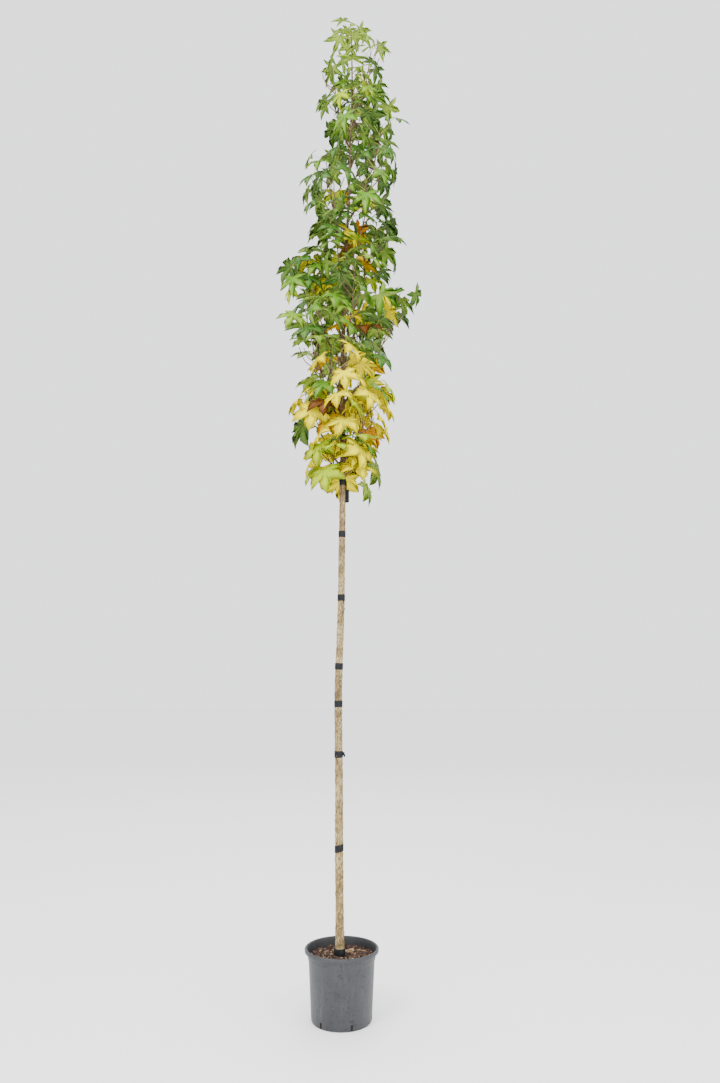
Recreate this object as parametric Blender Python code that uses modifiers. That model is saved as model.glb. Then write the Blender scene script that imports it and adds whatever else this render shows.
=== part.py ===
"""A young sweetgum on a tall clear stem, growing in a round nursery pot.

The pot stands on z = 0 with its axis on the origin. The stem rises from the bark-covered
compost, carries dark tie bands, and runs on as the leader to the top of a slender crown.
Steep boughs leave it in a spiral, and each ends where a mass of foliage takes over.
Every mass is one body: a stem, its side twigs, and star-shaped leaves on long stalks.
"""

import math
import random
from collections import namedtuple

import bmesh
import bpy
from mathutils import Matrix, Vector
from mathutils.bvhtree import BVHTree
from mathutils.geometry import interpolate_bezier

Limb = namedtuple("Limb", "points radii")
Leaf = namedtuple("Leaf", "root joint along face reach cut")
Counts = namedtuple("Counts", "first on_stem twigs on_twig")

UP = Vector((0, 0, 1))
GAP = 0.0003
GOLDEN_TURN = math.radians(137.508)

# The pot, as radius and height, down its outer side and back up its inner side.
POT_HEIGHT = 0.284
POT_STEPS = 32
POT_OUTSIDE = (
    (0.1500, POT_HEIGHT), (0.1540, 0.2800), (0.1536, 0.2680), (0.1425, 0.2655),
    (0.1395, 0.2400), (0.1368, 0.2360), (0.1252, 0.0080), (0.1215, 0.0), (0.0, 0.0),
)  # fmt: skip
POT_INSIDE = (
    (0.0, 0.0030), (0.1200, 0.0030), (0.1226, 0.0085), (0.1342, 0.2350),
    (0.1370, 0.2395), (0.1395, 0.2650), (0.1448, 0.2820),
)  # fmt: skip
DRAIN_HOLES = 6
DRAIN_FIRST = math.radians(-130)
DRAIN_SIZE = (0.030, 0.009, 0.022)
DRAIN_HEIGHT = 0.0155

# The compost fills the pot to just under its step.
COMPOST_TOP = 0.2465
COMPOST_DOME = ((0.0, 0.0), (0.060, 0.0), (0.110, -0.0015), (0.1362, -0.0040))

# The stem: how far it stands off the pot's axis, and its radius, by height.
STEM_FOOT = COMPOST_TOP + GAP
STEM_TIP = 4.40
STEM_BENDS = (
    (0.20, -0.008, 0.000), (0.85, -0.013, 0.002), (1.28, -0.018, 0.004),
    (1.80, -0.006, 0.001), (2.20, -0.002, -0.002), (2.80, -0.004, 0.003),
    (3.25, 0.010, 0.004), (3.75, 0.026, 0.000), (4.20, 0.038, -0.004), (4.50, 0.034, 0.000),
)  # fmt: skip
STEM_RADII = (
    (0.24, 0.0225), (0.29, 0.0188), (0.45, 0.0171), (1.30, 0.0161), (1.80, 0.0145),
    (2.20, 0.0133), (2.45, 0.0115), (3.00, 0.0086), (3.65, 0.0060), (4.10, 0.0044), (4.50, 0.0026),
)  # fmt: skip
STEM_STEPS = 36
STEM_SIDES = 10

# The tie bands: height of the middle, and how tall each is.
TIE_HEIGHTS = (0.2640, 0.677, 1.063, 1.275, 1.435, 1.733, 2.015, 2.250, 2.479)
TIE_TALL = 0.028
TIE_FOOT_TALL = 0.032
TIE_THICK = 0.0016
TIE_STEPS = 10
TIE_TAIL_OF = 7
TIE_TAIL = ((0.007, 0.0020, -0.045, 0.004), (0.018, 0.0024, -0.095, -0.037))
TIE_TAIL_TURN = math.radians(-25)

# The leafy head: how far it reaches towards -X and +X of the stem, by height.
HEAD_REACH = (
    (2.14, 0.10, 0.15), (2.22, 0.21, 0.19), (2.50, 0.28, 0.25), (2.75, 0.22, 0.24),
    (2.88, 0.34, 0.24), (3.00, 0.34, 0.33), (3.12, 0.37, 0.37), (3.30, 0.29, 0.40),
    (3.45, 0.25, 0.27), (3.62, 0.25, 0.24), (3.75, 0.27, 0.24), (3.92, 0.26, 0.28),
    (4.05, 0.26, 0.30), (4.18, 0.15, 0.28), (4.35, 0.16, 0.22), (4.50, 0.15, 0.18),
    (4.54, 0.09, 0.07),
)  # fmt: skip
LEAF_REACH = ((2.2, 0.115), (2.9, 0.106), (3.6, 0.096), (4.5, 0.082))
LEAF_CUT = ((2.4, 1.00), (3.2, 0.76))

# The boughs: where each leaves the stem, its turn in degrees, and the out and top of its mass.
BOUGHS = (
    (2.315, 188, 0.16, 2.70), (2.345, 340, 0.15, 2.68), (2.385, 75, 0.16, 2.78),
    (2.502, 262, 0.14, 2.84), (2.525, 140, 0.17, 2.96), (2.562, 212, 0.22, 3.08),
    (2.615, 350, 0.27, 3.20), (2.670, 60, 0.20, 3.24), (2.735, 285, 0.19, 3.30),
    (2.805, 176, 0.20, 3.40), (2.890, 112, 0.17, 3.50), (2.990, 18, 0.15, 3.60),
    (3.110, 240, 0.15, 3.72), (3.240, 330, 0.15, 3.86), (3.370, 150, 0.15, 3.96),
    (3.500, 12, 0.16, 4.08), (3.640, 270, 0.12, 4.16), (3.760, 60, 0.13, 4.24),
    (3.860, 190, 0.10, 4.34), (3.960, 335, 0.11, 4.40),
)  # fmt: skip
BOUGH_SHARE = (0.30, 0.30)
BOUGH_RADII = (0.0064, 0.0030)
BOUGH_SIDES = 6
BOUGH_STEPS = 10

# The short leafy shoots that sit on the stem itself.
SHOOTS = 7
SHOOT_LOWEST = 2.278
SHOOT_HIGHEST = 3.16
SHOOT_FIRST_TURN = math.radians(32)
SHOOT_LENGTH = 0.13
SHOOT_OUT = (1.05, 0.45)

# Leaves on a mass's stem from a share of its length on, its side twigs, and leaves on each.
ON_BOUGH = Counts(0.04, 8, 2, 3)
ON_STEM = Counts(0.22, 6, 1, 3)
ON_TOP = Counts(0.10, 9, 0, 0)

SEED = 61
TRIES = 16
CLEARANCE = 0.0012

TWIG_SIDES = 3
STEMLET_RADII = (0.0031, 0.0022)
TWIG_RADII = (0.0024, 0.0020)
TWIG_LENGTH = (0.10, 0.17)
STALK_RADIUS = 0.0009
STALK_LENGTH = (0.055, 0.090)
STALK_LEAN = ((2.30, 60, 115), (2.60, 42, 70))
LEAF_THICK = 0.0020
LEAF_SAG = 0.26

# Half of a leaf's outline: turn from the middle lobe, and share of the leaf's reach. The notches
# between the lobes, every second row, are cut deeper by height.
LEAF_OUTLINE = ((0, 1.00), (27, 0.47), (54, 0.93), (83, 0.42), (112, 0.68), (165, 0.03))


def by_height(table, z):
    """The values of a table at height z, eased between its rows."""
    for low, high in zip(table, table[1:]):
        if z <= high[0] or high is table[-1]:
            share = min(1.0, max(0.0, (z - low[0]) / (high[0] - low[0])))
            share = share * share * (3 - 2 * share) if len(low) > 2 else share
            return [a + (b - a) * share for a, b in zip(low[1:], high[1:])]
    return list(table[0][1:])


def blend(ends, share):
    return ends[0] + (ends[1] - ends[0]) * share


def turned(angle):
    """The level direction at this angle, 0 towards +X."""
    return Vector((math.cos(angle), math.sin(angle), 0))


def stem_point(z):
    x, y = by_height(STEM_BENDS, z)
    return Vector((x, y, z))


def stem_radius(z):
    return by_height(STEM_RADII, z)[0]


def head_reach(z, direction):
    """How far leaves may reach from the stem at this height, in this level direction."""
    left, right = by_height(HEAD_REACH, z)
    return (left + right) / 2 + (right - left) / 2 * direction.x


def clear_scene():
    for obj in list(bpy.data.objects):
        bpy.data.objects.remove(obj, do_unlink=True)


def new_collection(name):
    made = bpy.data.collections.new(name)
    bpy.context.scene.collection.children.link(made)
    return made


def finish(name, colour, roughness):
    """A plain material. The colour is an sRGB hex value."""
    made = bpy.data.materials.new(name)
    made.use_nodes = True
    channels = [int(colour[i : i + 2], 16) / 255 for i in (0, 2, 4)]
    linear = [c / 12.92 if c <= 0.04045 else ((c + 0.055) / 1.055) ** 2.4 for c in channels]
    shader = made.node_tree.nodes["Principled BSDF"]
    shader.inputs["Base Color"].default_value = (*linear, 1)
    shader.inputs["Roughness"].default_value = roughness
    shader.inputs["Metallic"].default_value = 0.0
    made.diffuse_color = (*linear, 1)
    return made


def add_object(name, data, collection, material):
    obj = bpy.data.objects.new(name, data)
    collection.objects.link(obj)
    data.materials.clear()
    data.materials.append(material)
    return obj


def from_bmesh(name, work, collection, material):
    mesh = bpy.data.meshes.new(name)
    work.to_mesh(mesh)
    work.free()
    return add_object(name, mesh, collection, material)


def turn_profile(name, profile, closed, collection, material):
    """A body turned about +Z from a profile of radius and height."""
    work = bmesh.new()
    points = [work.verts.new((radius, 0, z)) for radius, z in profile]
    for first, second in zip(points, points[1:]):
        work.edges.new((first, second))
    if closed:
        work.edges.new((points[-1], points[0]))
    obj = from_bmesh(name, work, collection, material)
    screw = obj.modifiers.new("Turn", "SCREW")
    screw.axis = "Z"
    screw.angle = math.tau
    screw.steps = screw.render_steps = POT_STEPS
    screw.use_merge_vertices = True
    screw.merge_threshold = 0.00005
    screw.use_smooth_shade = True
    return obj


def make_pot(collection, cutters, material):
    pot = turn_profile("pot", POT_OUTSIDE + POT_INSIDE, True, collection, material)
    holes = bmesh.new()
    for hole in range(DRAIN_HOLES):
        angle = DRAIN_FIRST + hole * math.tau / DRAIN_HOLES
        place = Matrix.Translation(turned(angle) * POT_OUTSIDE[-3][0] + UP * DRAIN_HEIGHT)
        bmesh.ops.create_cube(
            holes,
            size=1.0,
            matrix=place @ Matrix.Rotation(angle, 4, "Z") @ Matrix.Diagonal((*DRAIN_SIZE, 1)),
        )
    cutter = from_bmesh("drain_cutter", holes, cutters, material)
    cutter.hide_render = True
    cutter.display_type = "WIRE"
    cut = pot.modifiers.new("Drain holes", "BOOLEAN")
    cut.operation = "DIFFERENCE"
    cut.object = cutter
    cut.solver = "EXACT"
    return pot


def make_compost(collection, material):
    """The compost lies 0.3 mm inside the pot's wall and floor."""
    top = [(radius, COMPOST_TOP + rise) for radius, rise in COMPOST_DOME]
    wall = [(radius - GAP * 1.4, z) for radius, z in reversed(POT_INSIDE[1:4])]
    floor = [(radius, z + GAP) for radius, z in wall[-1:]] + [(0.0, POT_INSIDE[0][1] + GAP)]
    step = [(POT_INSIDE[4][0] - GAP * 1.4, POT_INSIDE[4][1])]
    profile = top + step + wall[:-1] + floor
    return turn_profile("compost", profile, False, collection, material)


def limb_bmesh(points, radii, sides):
    """A tapering limb through points, pulled out ring by ring and closed at both ends."""
    work = bmesh.new()
    ring = bmesh.ops.create_circle(work, segments=sides, radius=1.0)["verts"]
    edges = work.edges[:]
    turn = Matrix.Identity(3)
    direction = UP
    placed = Matrix.Identity(4)
    for step, (point, radius) in enumerate(zip(points, radii)):
        if step:
            pulled = bmesh.ops.extrude_edge_only(work, edges=edges)["geom"]
            edges = [part for part in pulled if isinstance(part, bmesh.types.BMEdge)]
            ring = [part for part in pulled if isinstance(part, bmesh.types.BMVert)]
        before = points[max(0, step - 1)]
        after = points[min(len(points) - 1, step + 1)]
        onward = (after - before).normalized()
        turn = direction.rotation_difference(onward).to_matrix() @ turn
        direction = onward
        place = Matrix.Translation(point) @ turn.to_4x4() @ Matrix.Scale(radius, 4)
        bmesh.ops.transform(work, matrix=place @ placed.inverted(), verts=ring)
        placed = place
    bmesh.ops.holes_fill(work, edges=work.edges, sides=0)
    bmesh.ops.recalc_face_normals(work, faces=work.faces)
    return work


def taper(radii, steps):
    return [blend(radii, step / steps) for step in range(steps + 1)]


def make_stem(name, extra, collection, material):
    """The stem from its foot to its tip. It flares at the foot, and extra thickens it all over."""
    height = STEM_TIP - STEM_FOOT
    heights = [STEM_FOOT + height * step / STEM_STEPS for step in range(STEM_STEPS + 1)]
    radii = [stem_radius(z) + extra for z in heights]
    work = limb_bmesh([stem_point(z) for z in heights], radii, STEM_SIDES)
    stem = from_bmesh(name, work, collection, material)
    stem.data.shade_smooth()
    return stem


def make_tie(number, height, collection, material):
    """A band round the stem, square to it. One band has a tail that hangs down beside the stem."""
    tall = TIE_TALL if number else TIE_FOOT_TALL
    along = (stem_point(height + 0.02) - stem_point(height - 0.02)).normalized()
    widest = max(stem_radius(height - tall / 2), stem_radius(height + tall / 2))
    inner = (widest + GAP * 1.5) / math.cos(math.pi / TIE_STEPS)
    outer = inner + TIE_THICK
    profile = ((outer, tall / 2), (outer, -tall / 2), (inner, -tall / 2), (inner, tall / 2))
    band = turn_profile(f"tie_{number + 1}", profile, True, collection, material)
    band.modifiers["Turn"].steps = band.modifiers["Turn"].render_steps = TIE_STEPS
    band.location = stem_point(height)
    band.rotation_mode = "QUATERNION"
    band.rotation_quaternion = UP.rotation_difference(along)
    return band


def add_tail(band, cutters, material):
    """The loose end of a band: a narrow link sunk into it, and a wider tag under that."""
    inner = stem_radius(band.location.z) + TIE_THICK * 0.6
    work = bmesh.new()
    for width, thick, bottom, top in TIE_TAIL:
        place = turned(TIE_TAIL_TURN) * (inner + width / 2) + UP * (bottom + top) / 2
        bmesh.ops.create_cube(
            work,
            size=1.0,
            matrix=Matrix.Translation(band.location + place)
            @ Matrix.Rotation(TIE_TAIL_TURN, 4, "Z")
            @ Matrix.Diagonal((width, thick, top - bottom, 1)),
        )
    tail = from_bmesh("tail_piece", work, cutters, material)
    tail.hide_render = True
    tail.display_type = "WIRE"
    join = band.modifiers.new("Tail", "BOOLEAN")
    join.operation = "UNION"
    join.object = tail
    join.solver = "EXACT"
    join.use_self = True


def cut_clear(obj, cutter):
    """Takes the cutter out of obj for good, so that obj stands the gap clear of what it meets."""
    cut = obj.modifiers.new("Clear", "BOOLEAN")
    cut.operation = "DIFFERENCE"
    cut.object = cutter
    cut.solver = "MANIFOLD"
    apply_modifiers(obj)


def apply_modifiers(obj):
    bpy.context.view_layer.update()
    graph = bpy.context.evaluated_depsgraph_get()
    mesh = bpy.data.meshes.new_from_object(obj.evaluated_get(graph))
    obj.modifiers.clear()
    old = obj.data
    obj.data = mesh
    bpy.data.meshes.remove(old)


def keep_largest_body(obj):
    """Drops loose scraps, and the inner skins of sealed hollows, which fills them."""
    work = bmesh.new()
    work.from_mesh(obj.data)
    work.faces.ensure_lookup_table()
    unseen = set(work.faces)
    bodies = []
    while unseen:
        todo = [unseen.pop()]
        body = list(todo)
        while todo:
            for edge in todo.pop().edges:
                for face in edge.link_faces:
                    if face in unseen:
                        unseen.remove(face)
                        todo.append(face)
                        body.append(face)
        bodies.append(body)
    bodies.sort(key=lambda body: sum(face.calc_area() for face in body))
    for body in bodies[:-1]:
        bmesh.ops.delete(work, geom=body, context="FACES")
    work.to_mesh(obj.data)
    work.free()


def bough_lines(number):
    """The points of a bough, and of the foliage stem that goes on from its tip."""
    foot, turn, out, top = BOUGHS[number]
    side = turned(math.radians(turn))
    start = stem_point(foot)
    end = stem_point(top) + side * out
    lift = (top - foot) * 0.5
    first = start + side * out * 0.52 + UP * lift * 0.42
    second = end - side * out * 0.20 - UP * lift * 0.9
    line = interpolate_bezier(start, first, second, end, BOUGH_STEPS + 1)
    cut = round(blend(BOUGH_SHARE, number / (len(BOUGHS) - 1)) * BOUGH_STEPS)
    onward = (line[cut] - line[cut - 1]).normalized()
    carried_on = [line[cut] + onward * GAP, line[cut] + onward * 0.01, *line[cut + 2 :: 2]]
    return line[: cut + 1], carried_on


def make_bough(number, line, clear_of, collection, material):
    work = limb_bmesh(line, taper(BOUGH_RADII, len(line) - 1), BOUGH_SIDES)
    bough = from_bmesh(f"bough_{number + 1:02d}", work, collection, material)
    cut_clear(bough, clear_of)
    keep_largest_body(bough)
    return bough


def shoot_line(number):
    """The points of a short foliage stem that leaves the main stem."""
    share = number / (SHOOTS - 1)
    foot = blend((SHOOT_LOWEST, SHOOT_HIGHEST), share**2)
    side = turned(SHOOT_FIRST_TURN + number * GOLDEN_TURN)
    start = stem_point(foot)
    first = start + side * (stem_radius(foot) + 0.020) + UP * 0.016
    onward = (side * blend(SHOOT_OUT, share) + UP).normalized()
    return [start, first, first + onward * SHOOT_LENGTH]


def top_line():
    """The points of the foliage stem that goes on from the stem's tip."""
    tip = stem_point(STEM_TIP)
    step = (STEM_TIP - STEM_FOOT) / STEM_STEPS
    onward = (tip - stem_point(STEM_TIP - step)).normalized()
    return [tip + onward * GAP, tip + onward * 0.04, tip + onward * 0.085]


def leaf_bmesh(leaf, thick):
    """A leaf and its stalk as one body.

    The blade is two shallow fans back to back, whose lobes sag towards their tips. The stalk
    is pulled out of a face at the back of the blade, on the side its root on the twig is on.
    """
    half = [
        (turn, share * (leaf.cut if row % 2 else 1))
        for row, (turn, share) in enumerate(LEAF_OUTLINE)
    ]
    turns = half + [(-turn, share) for turn, share in reversed(half)][:-1]
    inward = (leaf.root - leaf.joint).normalized()
    rooted_above = inward.dot(leaf.face) > 0
    work = bmesh.new()
    bmesh.ops.create_uvsphere(work, u_segments=len(turns), v_segments=2, radius=1.0)
    ring = [vert for vert in work.verts if abs(vert.co.z) < 0.5]
    ring.sort(key=lambda vert: math.atan2(vert.co.y, vert.co.x) % math.tau)
    notch = ring[len(half) - 1 : len(half) + 1]
    for vert in [vert for vert in work.verts if vert not in ring]:
        above = vert.co.z > 0
        vert.co = (leaf.reach * 0.012, 0, thick / 2 if above else -thick / 2)
        if above == rooted_above:
            notch.append(vert)
    for vert, (turn, share) in zip(ring, turns):
        spot = turned(math.radians(turn)) * share - UP * LEAF_SAG * share * share
        vert.co = spot * leaf.reach
    side = leaf.face.cross(leaf.along)
    turn = Matrix((leaf.along, side, leaf.face)).transposed().to_4x4()
    bmesh.ops.transform(work, matrix=Matrix.Translation(leaf.joint) @ turn, verts=work.verts)
    back = [face for face in work.faces if set(face.verts) == set(notch)]
    edges = back[0].edges[:]
    bmesh.ops.delete(work, geom=back, context="FACES_ONLY")
    centre = sum((vert.co for vert in notch), Vector()) / 3
    first = notch[2].co - centre
    first -= inward * first.dot(inward)
    third = math.copysign(math.tau / 3, first.cross(notch[0].co - centre).dot(inward))
    pulled = bmesh.ops.extrude_edge_only(work, edges=edges)["geom"]
    for vert in [part for part in pulled if isinstance(part, bmesh.types.BMVert)]:
        corner = min(range(3), key=lambda number: (notch[number].co - vert.co).length)
        way = Matrix.Rotation((third, -third, 0)[corner], 3, inward) @ first.normalized()
        vert.co = leaf.root + way * STALK_RADIUS
    bmesh.ops.holes_fill(work, edges=work.edges, sides=0)
    bmesh.ops.recalc_face_normals(work, faces=work.faces)
    return work


class Space:
    """What stands where in the leafy head, so that nothing is put where it would touch."""

    def __init__(self):
        self.taken = []

    @staticmethod
    def measured(work):
        """A body's search tree, and the sphere round it. The body itself is freed."""
        tree = BVHTree.FromBMesh(work)
        centre = sum((vert.co for vert in work.verts), Vector()) / len(work.verts)
        radius = max((vert.co - centre).length for vert in work.verts)
        work.free()
        return tree, centre, radius

    def take(self, owner, body):
        self.taken.append((owner, *body))

    def is_free(self, body, but_for=()):
        """Whether the body meets nothing that is taken, but for what these owners hold."""
        tree, centre, radius = body
        for owner, other, place, size in self.taken:
            near = (place - centre).length < size + radius
            if near and owner not in but_for and tree.overlap(other):
                return False
        return True


def limb_body(limb, extra):
    return Space.measured(limb_bmesh(limb.points, [r + extra for r in limb.radii], 6))


def leaf_tips(leaf):
    """The end of a leaf's stalk, and the tips of its three front lobes."""
    side = leaf.face.cross(leaf.along)
    yield leaf.joint
    outer_turn, outer_share = LEAF_OUTLINE[2]
    for degrees, share in (LEAF_OUTLINE[0], LEAF_OUTLINE[2], (-outer_turn, outer_share)):
        turn = math.radians(degrees)
        spread = leaf.along * math.cos(turn) + side * math.sin(turn)
        yield leaf.joint + (spread * share - leaf.face * LEAF_SAG * share * share) * leaf.reach


def in_reach(leaf):
    """Whether a leaf's front lobes stay inside the outline of the leafy head."""
    for tip in leaf_tips(leaf):
        if not HEAD_REACH[0][0] < tip.z < HEAD_REACH[-1][0]:
            return False
        level = tip - stem_point(tip.z)
        if level.length > head_reach(tip.z, level.normalized()):
            return False
    return True


def propose_leaf(chance, root, tangent, turn):
    """A leaf whose stalk leaves its twig at this turn. Its blade faces up and out, and hangs."""
    side = tangent.orthogonal().normalized()
    side.rotate(Matrix.Rotation(turn, 3, tangent))
    lean = math.radians(chance.uniform(*by_height(STALK_LEAN, root.z)))
    stalk = tangent * math.cos(lean) + side * math.sin(lean)
    joint = root + stalk * chance.uniform(*STALK_LENGTH)
    away = joint - stem_point(joint.z)
    out = away.normalized() * 0.6 + Vector((stalk.x, stalk.y, 0))
    out.z = 0
    out.normalize()
    out.rotate(Matrix.Rotation(math.radians(chance.gauss(0, 24)), 3, UP))
    droop = math.radians(chance.triangular(-12, 84, 40))
    along = out * math.cos(droop) - UP * math.sin(droop)
    face = out * math.sin(droop) + UP * math.cos(droop)
    face.rotate(Matrix.Rotation(math.radians(chance.gauss(0, 20)), 3, along))
    reach = by_height(LEAF_REACH, joint.z)[0] * chance.uniform(0.80, 1.12)
    return Leaf(root, joint, along, face, reach, by_height(LEAF_CUT, joint.z)[0])


def put_leaf(space, owner, chance, root, tangent, turn):
    """Puts one leaf on a twig, if a free place is found within a few tries."""
    for attempt in range(TRIES):
        leaf = propose_leaf(chance, root, tangent, turn + chance.gauss(0, 0.25 + 0.12 * attempt))
        if not in_reach(leaf):
            continue
        grown = leaf._replace(reach=leaf.reach * 1.02)
        blade = grown._replace(root=leaf.joint.lerp(leaf.root, 0.6))
        whole = Space.measured(leaf_bmesh(grown, LEAF_THICK + 2 * CLEARANCE))
        if space.is_free(whole, (owner,)) and space.is_free(
            Space.measured(leaf_bmesh(blade, LEAF_THICK + 2 * CLEARANCE))
        ):
            space.take(owner + " leaves", whole)
            return leaf
    return None


def place_on(line, share):
    """The point and direction at a share of a line's length."""
    lengths = [(after - before).length for before, after in zip(line, line[1:])]
    rest = sum(lengths) * share
    for before, after, length in zip(line, line[1:], lengths):
        if rest <= length or after is line[-1]:
            return before.lerp(after, min(1.0, rest / length)), (after - before).normalized()
        rest -= length


def side_twig(chance, line, share, turn):
    """A side twig that leaves the line at a share of its length and curves upwards."""
    root, tangent = place_on(line, share)
    side = tangent.orthogonal().normalized()
    side.rotate(Matrix.Rotation(turn, 3, tangent))
    lean = math.radians(chance.uniform(34, 50))
    length = chance.uniform(*TWIG_LENGTH)
    first = root + (tangent * math.cos(lean) + side * math.sin(lean)) * length * 0.5
    end = first + (side * 0.35 + UP).normalized() * length * 0.5
    return Limb([root, first, end], taper(TWIG_RADII, 2))


def grow_mass(space, owner, stem, counts):
    """Grows a mass on its stem: leaves in a spiral, and side twigs with leaves of their own."""
    chance = random.Random(f"{SEED} {owner}")
    limbs = [stem]
    turn = chance.uniform(0, math.tau)
    for number in range(counts.twigs):
        share = blend((0.14, 0.80), (number + 0.5) / counts.twigs)
        for attempt in range(TRIES):
            angle = turn + number * GOLDEN_TURN + chance.gauss(0, 0.1 + 0.1 * attempt)
            twig = side_twig(chance, stem.points, share, angle)
            body = limb_body(twig, CLEARANCE)
            if space.is_free(body, (owner,)):
                space.take(owner, body)
                limbs.append(twig)
                break
    places = [(stem.points, share, 1.0) for share in spaced(counts.first, 0.995, counts.on_stem)]
    for twig in limbs[1:]:
        places += [(twig.points, share, 0.0) for share in spaced(0.45, 0.99, counts.on_twig)]
    leaves = []
    for number, (points, share, start) in enumerate(places):
        root, tangent = place_on(points, share)
        angle = start + number * GOLDEN_TURN
        leaves.append(put_leaf(space, owner, chance, root, tangent, angle))
    return limbs, [leaf for leaf in leaves if leaf]


def spaced(first, last, count):
    return [blend((first, last), step / max(1, count - 1)) for step in range(count)]


def build_mass(name, limbs, leaves, collection, material):
    """Joins a mass's twigs and leaves into one body."""
    works = [limb_bmesh(limb.points, limb.radii, TWIG_SIDES) for limb in limbs]
    works += [leaf_bmesh(leaf, LEAF_THICK) for leaf in leaves]
    mass = from_bmesh(name, works[0], collection, material)
    pieces = new_collection("pieces")
    for number, work in enumerate(works[1:]):
        from_bmesh(f"piece_{number}", work, pieces, material)
    join = mass.modifiers.new("Join", "BOOLEAN")
    join.operation = "UNION"
    join.operand_type = "COLLECTION"
    join.collection = pieces
    join.solver = "MANIFOLD"
    apply_modifiers(mass)
    for piece in list(pieces.objects):
        bpy.data.objects.remove(piece)
    bpy.data.collections.remove(pieces)
    keep_largest_body(mass)
    return mass


def main():
    clear_scene()
    plant = new_collection("sweetgum")
    cutters = new_collection("cutters")

    plastic = finish("pot_plastic", "595B60", 0.55)
    bark_chips = finish("bark_chips", "7A4A2C", 0.95)
    stem_bark = finish("stem_bark", "A8926B", 0.85)
    bough_bark = finish("bough_bark", "6E5238", 0.80)
    tie_rubber = finish("tie_rubber", "2B2C2E", 0.70)
    leaf_yellow = finish("leaf_yellow", "D9BE3B", 0.55)
    leaf_green = finish("leaf_green", "4E7A2C", 0.55)
    leaf_fresh = finish("leaf_fresh", "93B048", 0.55)

    make_pot(plant, cutters, plastic)
    make_compost(plant, bark_chips)
    make_stem("trunk", 0.0, plant, stem_bark)
    clear_of_stem = make_stem("stem_clearance", GAP, cutters, stem_bark)
    clear_of_stem.hide_render = True
    clear_of_stem.display_type = "WIRE"
    ties = [make_tie(number, z, plant, tie_rubber) for number, z in enumerate(TIE_HEIGHTS)]
    add_tail(ties[TIE_TAIL_OF], cutters, tie_rubber)

    space = Space()
    heights = [2.0 + 0.1 * step for step in range(25)]
    for ends in zip(heights, heights[1:]):
        stretch = Limb([stem_point(z) for z in ends], [stem_radius(z) for z in ends])
        space.take("trunk", limb_body(stretch, CLEARANCE))
    for height in TIE_HEIGHTS[TIE_TAIL_OF:]:
        ends = [stem_point(height - TIE_TALL * 0.6), stem_point(height + TIE_TALL * 0.6)]
        band = Limb(ends, [stem_radius(height) + 2 * TIE_THICK] * 2)
        space.take("ties", limb_body(band, CLEARANCE))

    masses = []
    for number in range(len(BOUGHS)):
        bare, carried_on = bough_lines(number)
        bough = make_bough(number, bare, clear_of_stem, plant, bough_bark)
        space.take(bough.name, limb_body(Limb(bare, taper(BOUGH_RADII, len(bare) - 1)), CLEARANCE))
        masses.append((f"foliage_{number + 1:02d}", carried_on, ON_BOUGH))
    for number in range(SHOOTS):
        masses.append((f"foliage_inner_{number + 1:02d}", shoot_line(number), ON_STEM))
    masses.append(("foliage_top", top_line(), ON_TOP))

    stems = {name: Limb(line, taper(STEMLET_RADII, len(line) - 1)) for name, line, counts in masses}
    for name, stem in stems.items():
        space.take(name, limb_body(stem, CLEARANCE))

    total = 0
    for name, _, counts in masses:
        limbs, leaves = grow_mass(space, name, stems[name], counts)
        total += len(leaves)
        middle = sum(leaf.joint.z for leaf in leaves) / max(1, len(leaves))
        colour = leaf_yellow if middle < 2.66 else leaf_green if middle < 4.2 else leaf_fresh
        mass = build_mass(name, limbs, leaves, plant, colour)
        if counts is ON_STEM:
            cut_clear(mass, clear_of_stem)
            keep_largest_body(mass)
    print("leaves", total)


main()
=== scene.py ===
"""The looks of a young sweetgum in a nursery pot: bark, twigs, leaves, compost and pot.

The leafy head is grown again by the rule of the CAD part, with the same sizes and seed, so
each leaf and twig stands where its solid does. Finer twigs then fill what is left free.
"""

import math
import random
from collections import namedtuple

import bmesh
import bpy
from mathutils import Matrix, Vector, noise
from mathutils.bvhtree import BVHTree
from mathutils.geometry import interpolate_bezier


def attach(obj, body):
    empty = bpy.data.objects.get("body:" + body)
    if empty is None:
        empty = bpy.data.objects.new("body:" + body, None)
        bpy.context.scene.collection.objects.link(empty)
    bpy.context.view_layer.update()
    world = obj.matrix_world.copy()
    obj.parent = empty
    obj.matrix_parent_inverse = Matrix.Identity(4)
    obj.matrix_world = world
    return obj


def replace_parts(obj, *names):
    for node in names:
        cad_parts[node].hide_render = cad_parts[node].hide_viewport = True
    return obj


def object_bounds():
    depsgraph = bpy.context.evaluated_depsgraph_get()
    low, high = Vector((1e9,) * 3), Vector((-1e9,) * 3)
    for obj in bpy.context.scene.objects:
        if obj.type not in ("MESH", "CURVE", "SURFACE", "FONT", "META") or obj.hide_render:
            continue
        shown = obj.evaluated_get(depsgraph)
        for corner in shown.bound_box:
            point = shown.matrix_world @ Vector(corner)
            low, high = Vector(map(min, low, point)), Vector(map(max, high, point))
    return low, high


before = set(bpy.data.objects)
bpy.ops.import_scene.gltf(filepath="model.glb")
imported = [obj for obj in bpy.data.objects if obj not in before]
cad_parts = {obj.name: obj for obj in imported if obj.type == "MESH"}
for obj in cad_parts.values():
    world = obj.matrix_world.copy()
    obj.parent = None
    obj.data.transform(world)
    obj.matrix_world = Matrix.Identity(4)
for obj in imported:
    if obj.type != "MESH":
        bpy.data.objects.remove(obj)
CAD_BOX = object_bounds()

Limb = namedtuple("Limb", "points radii")
Leaf = namedtuple("Leaf", "root joint along face reach cut")
Counts = namedtuple("Counts", "first on_stem twigs on_twig")

UP = Vector((0, 0, 1))
GAP = 0.0003
GOLDEN_TURN = math.radians(137.508)

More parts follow.
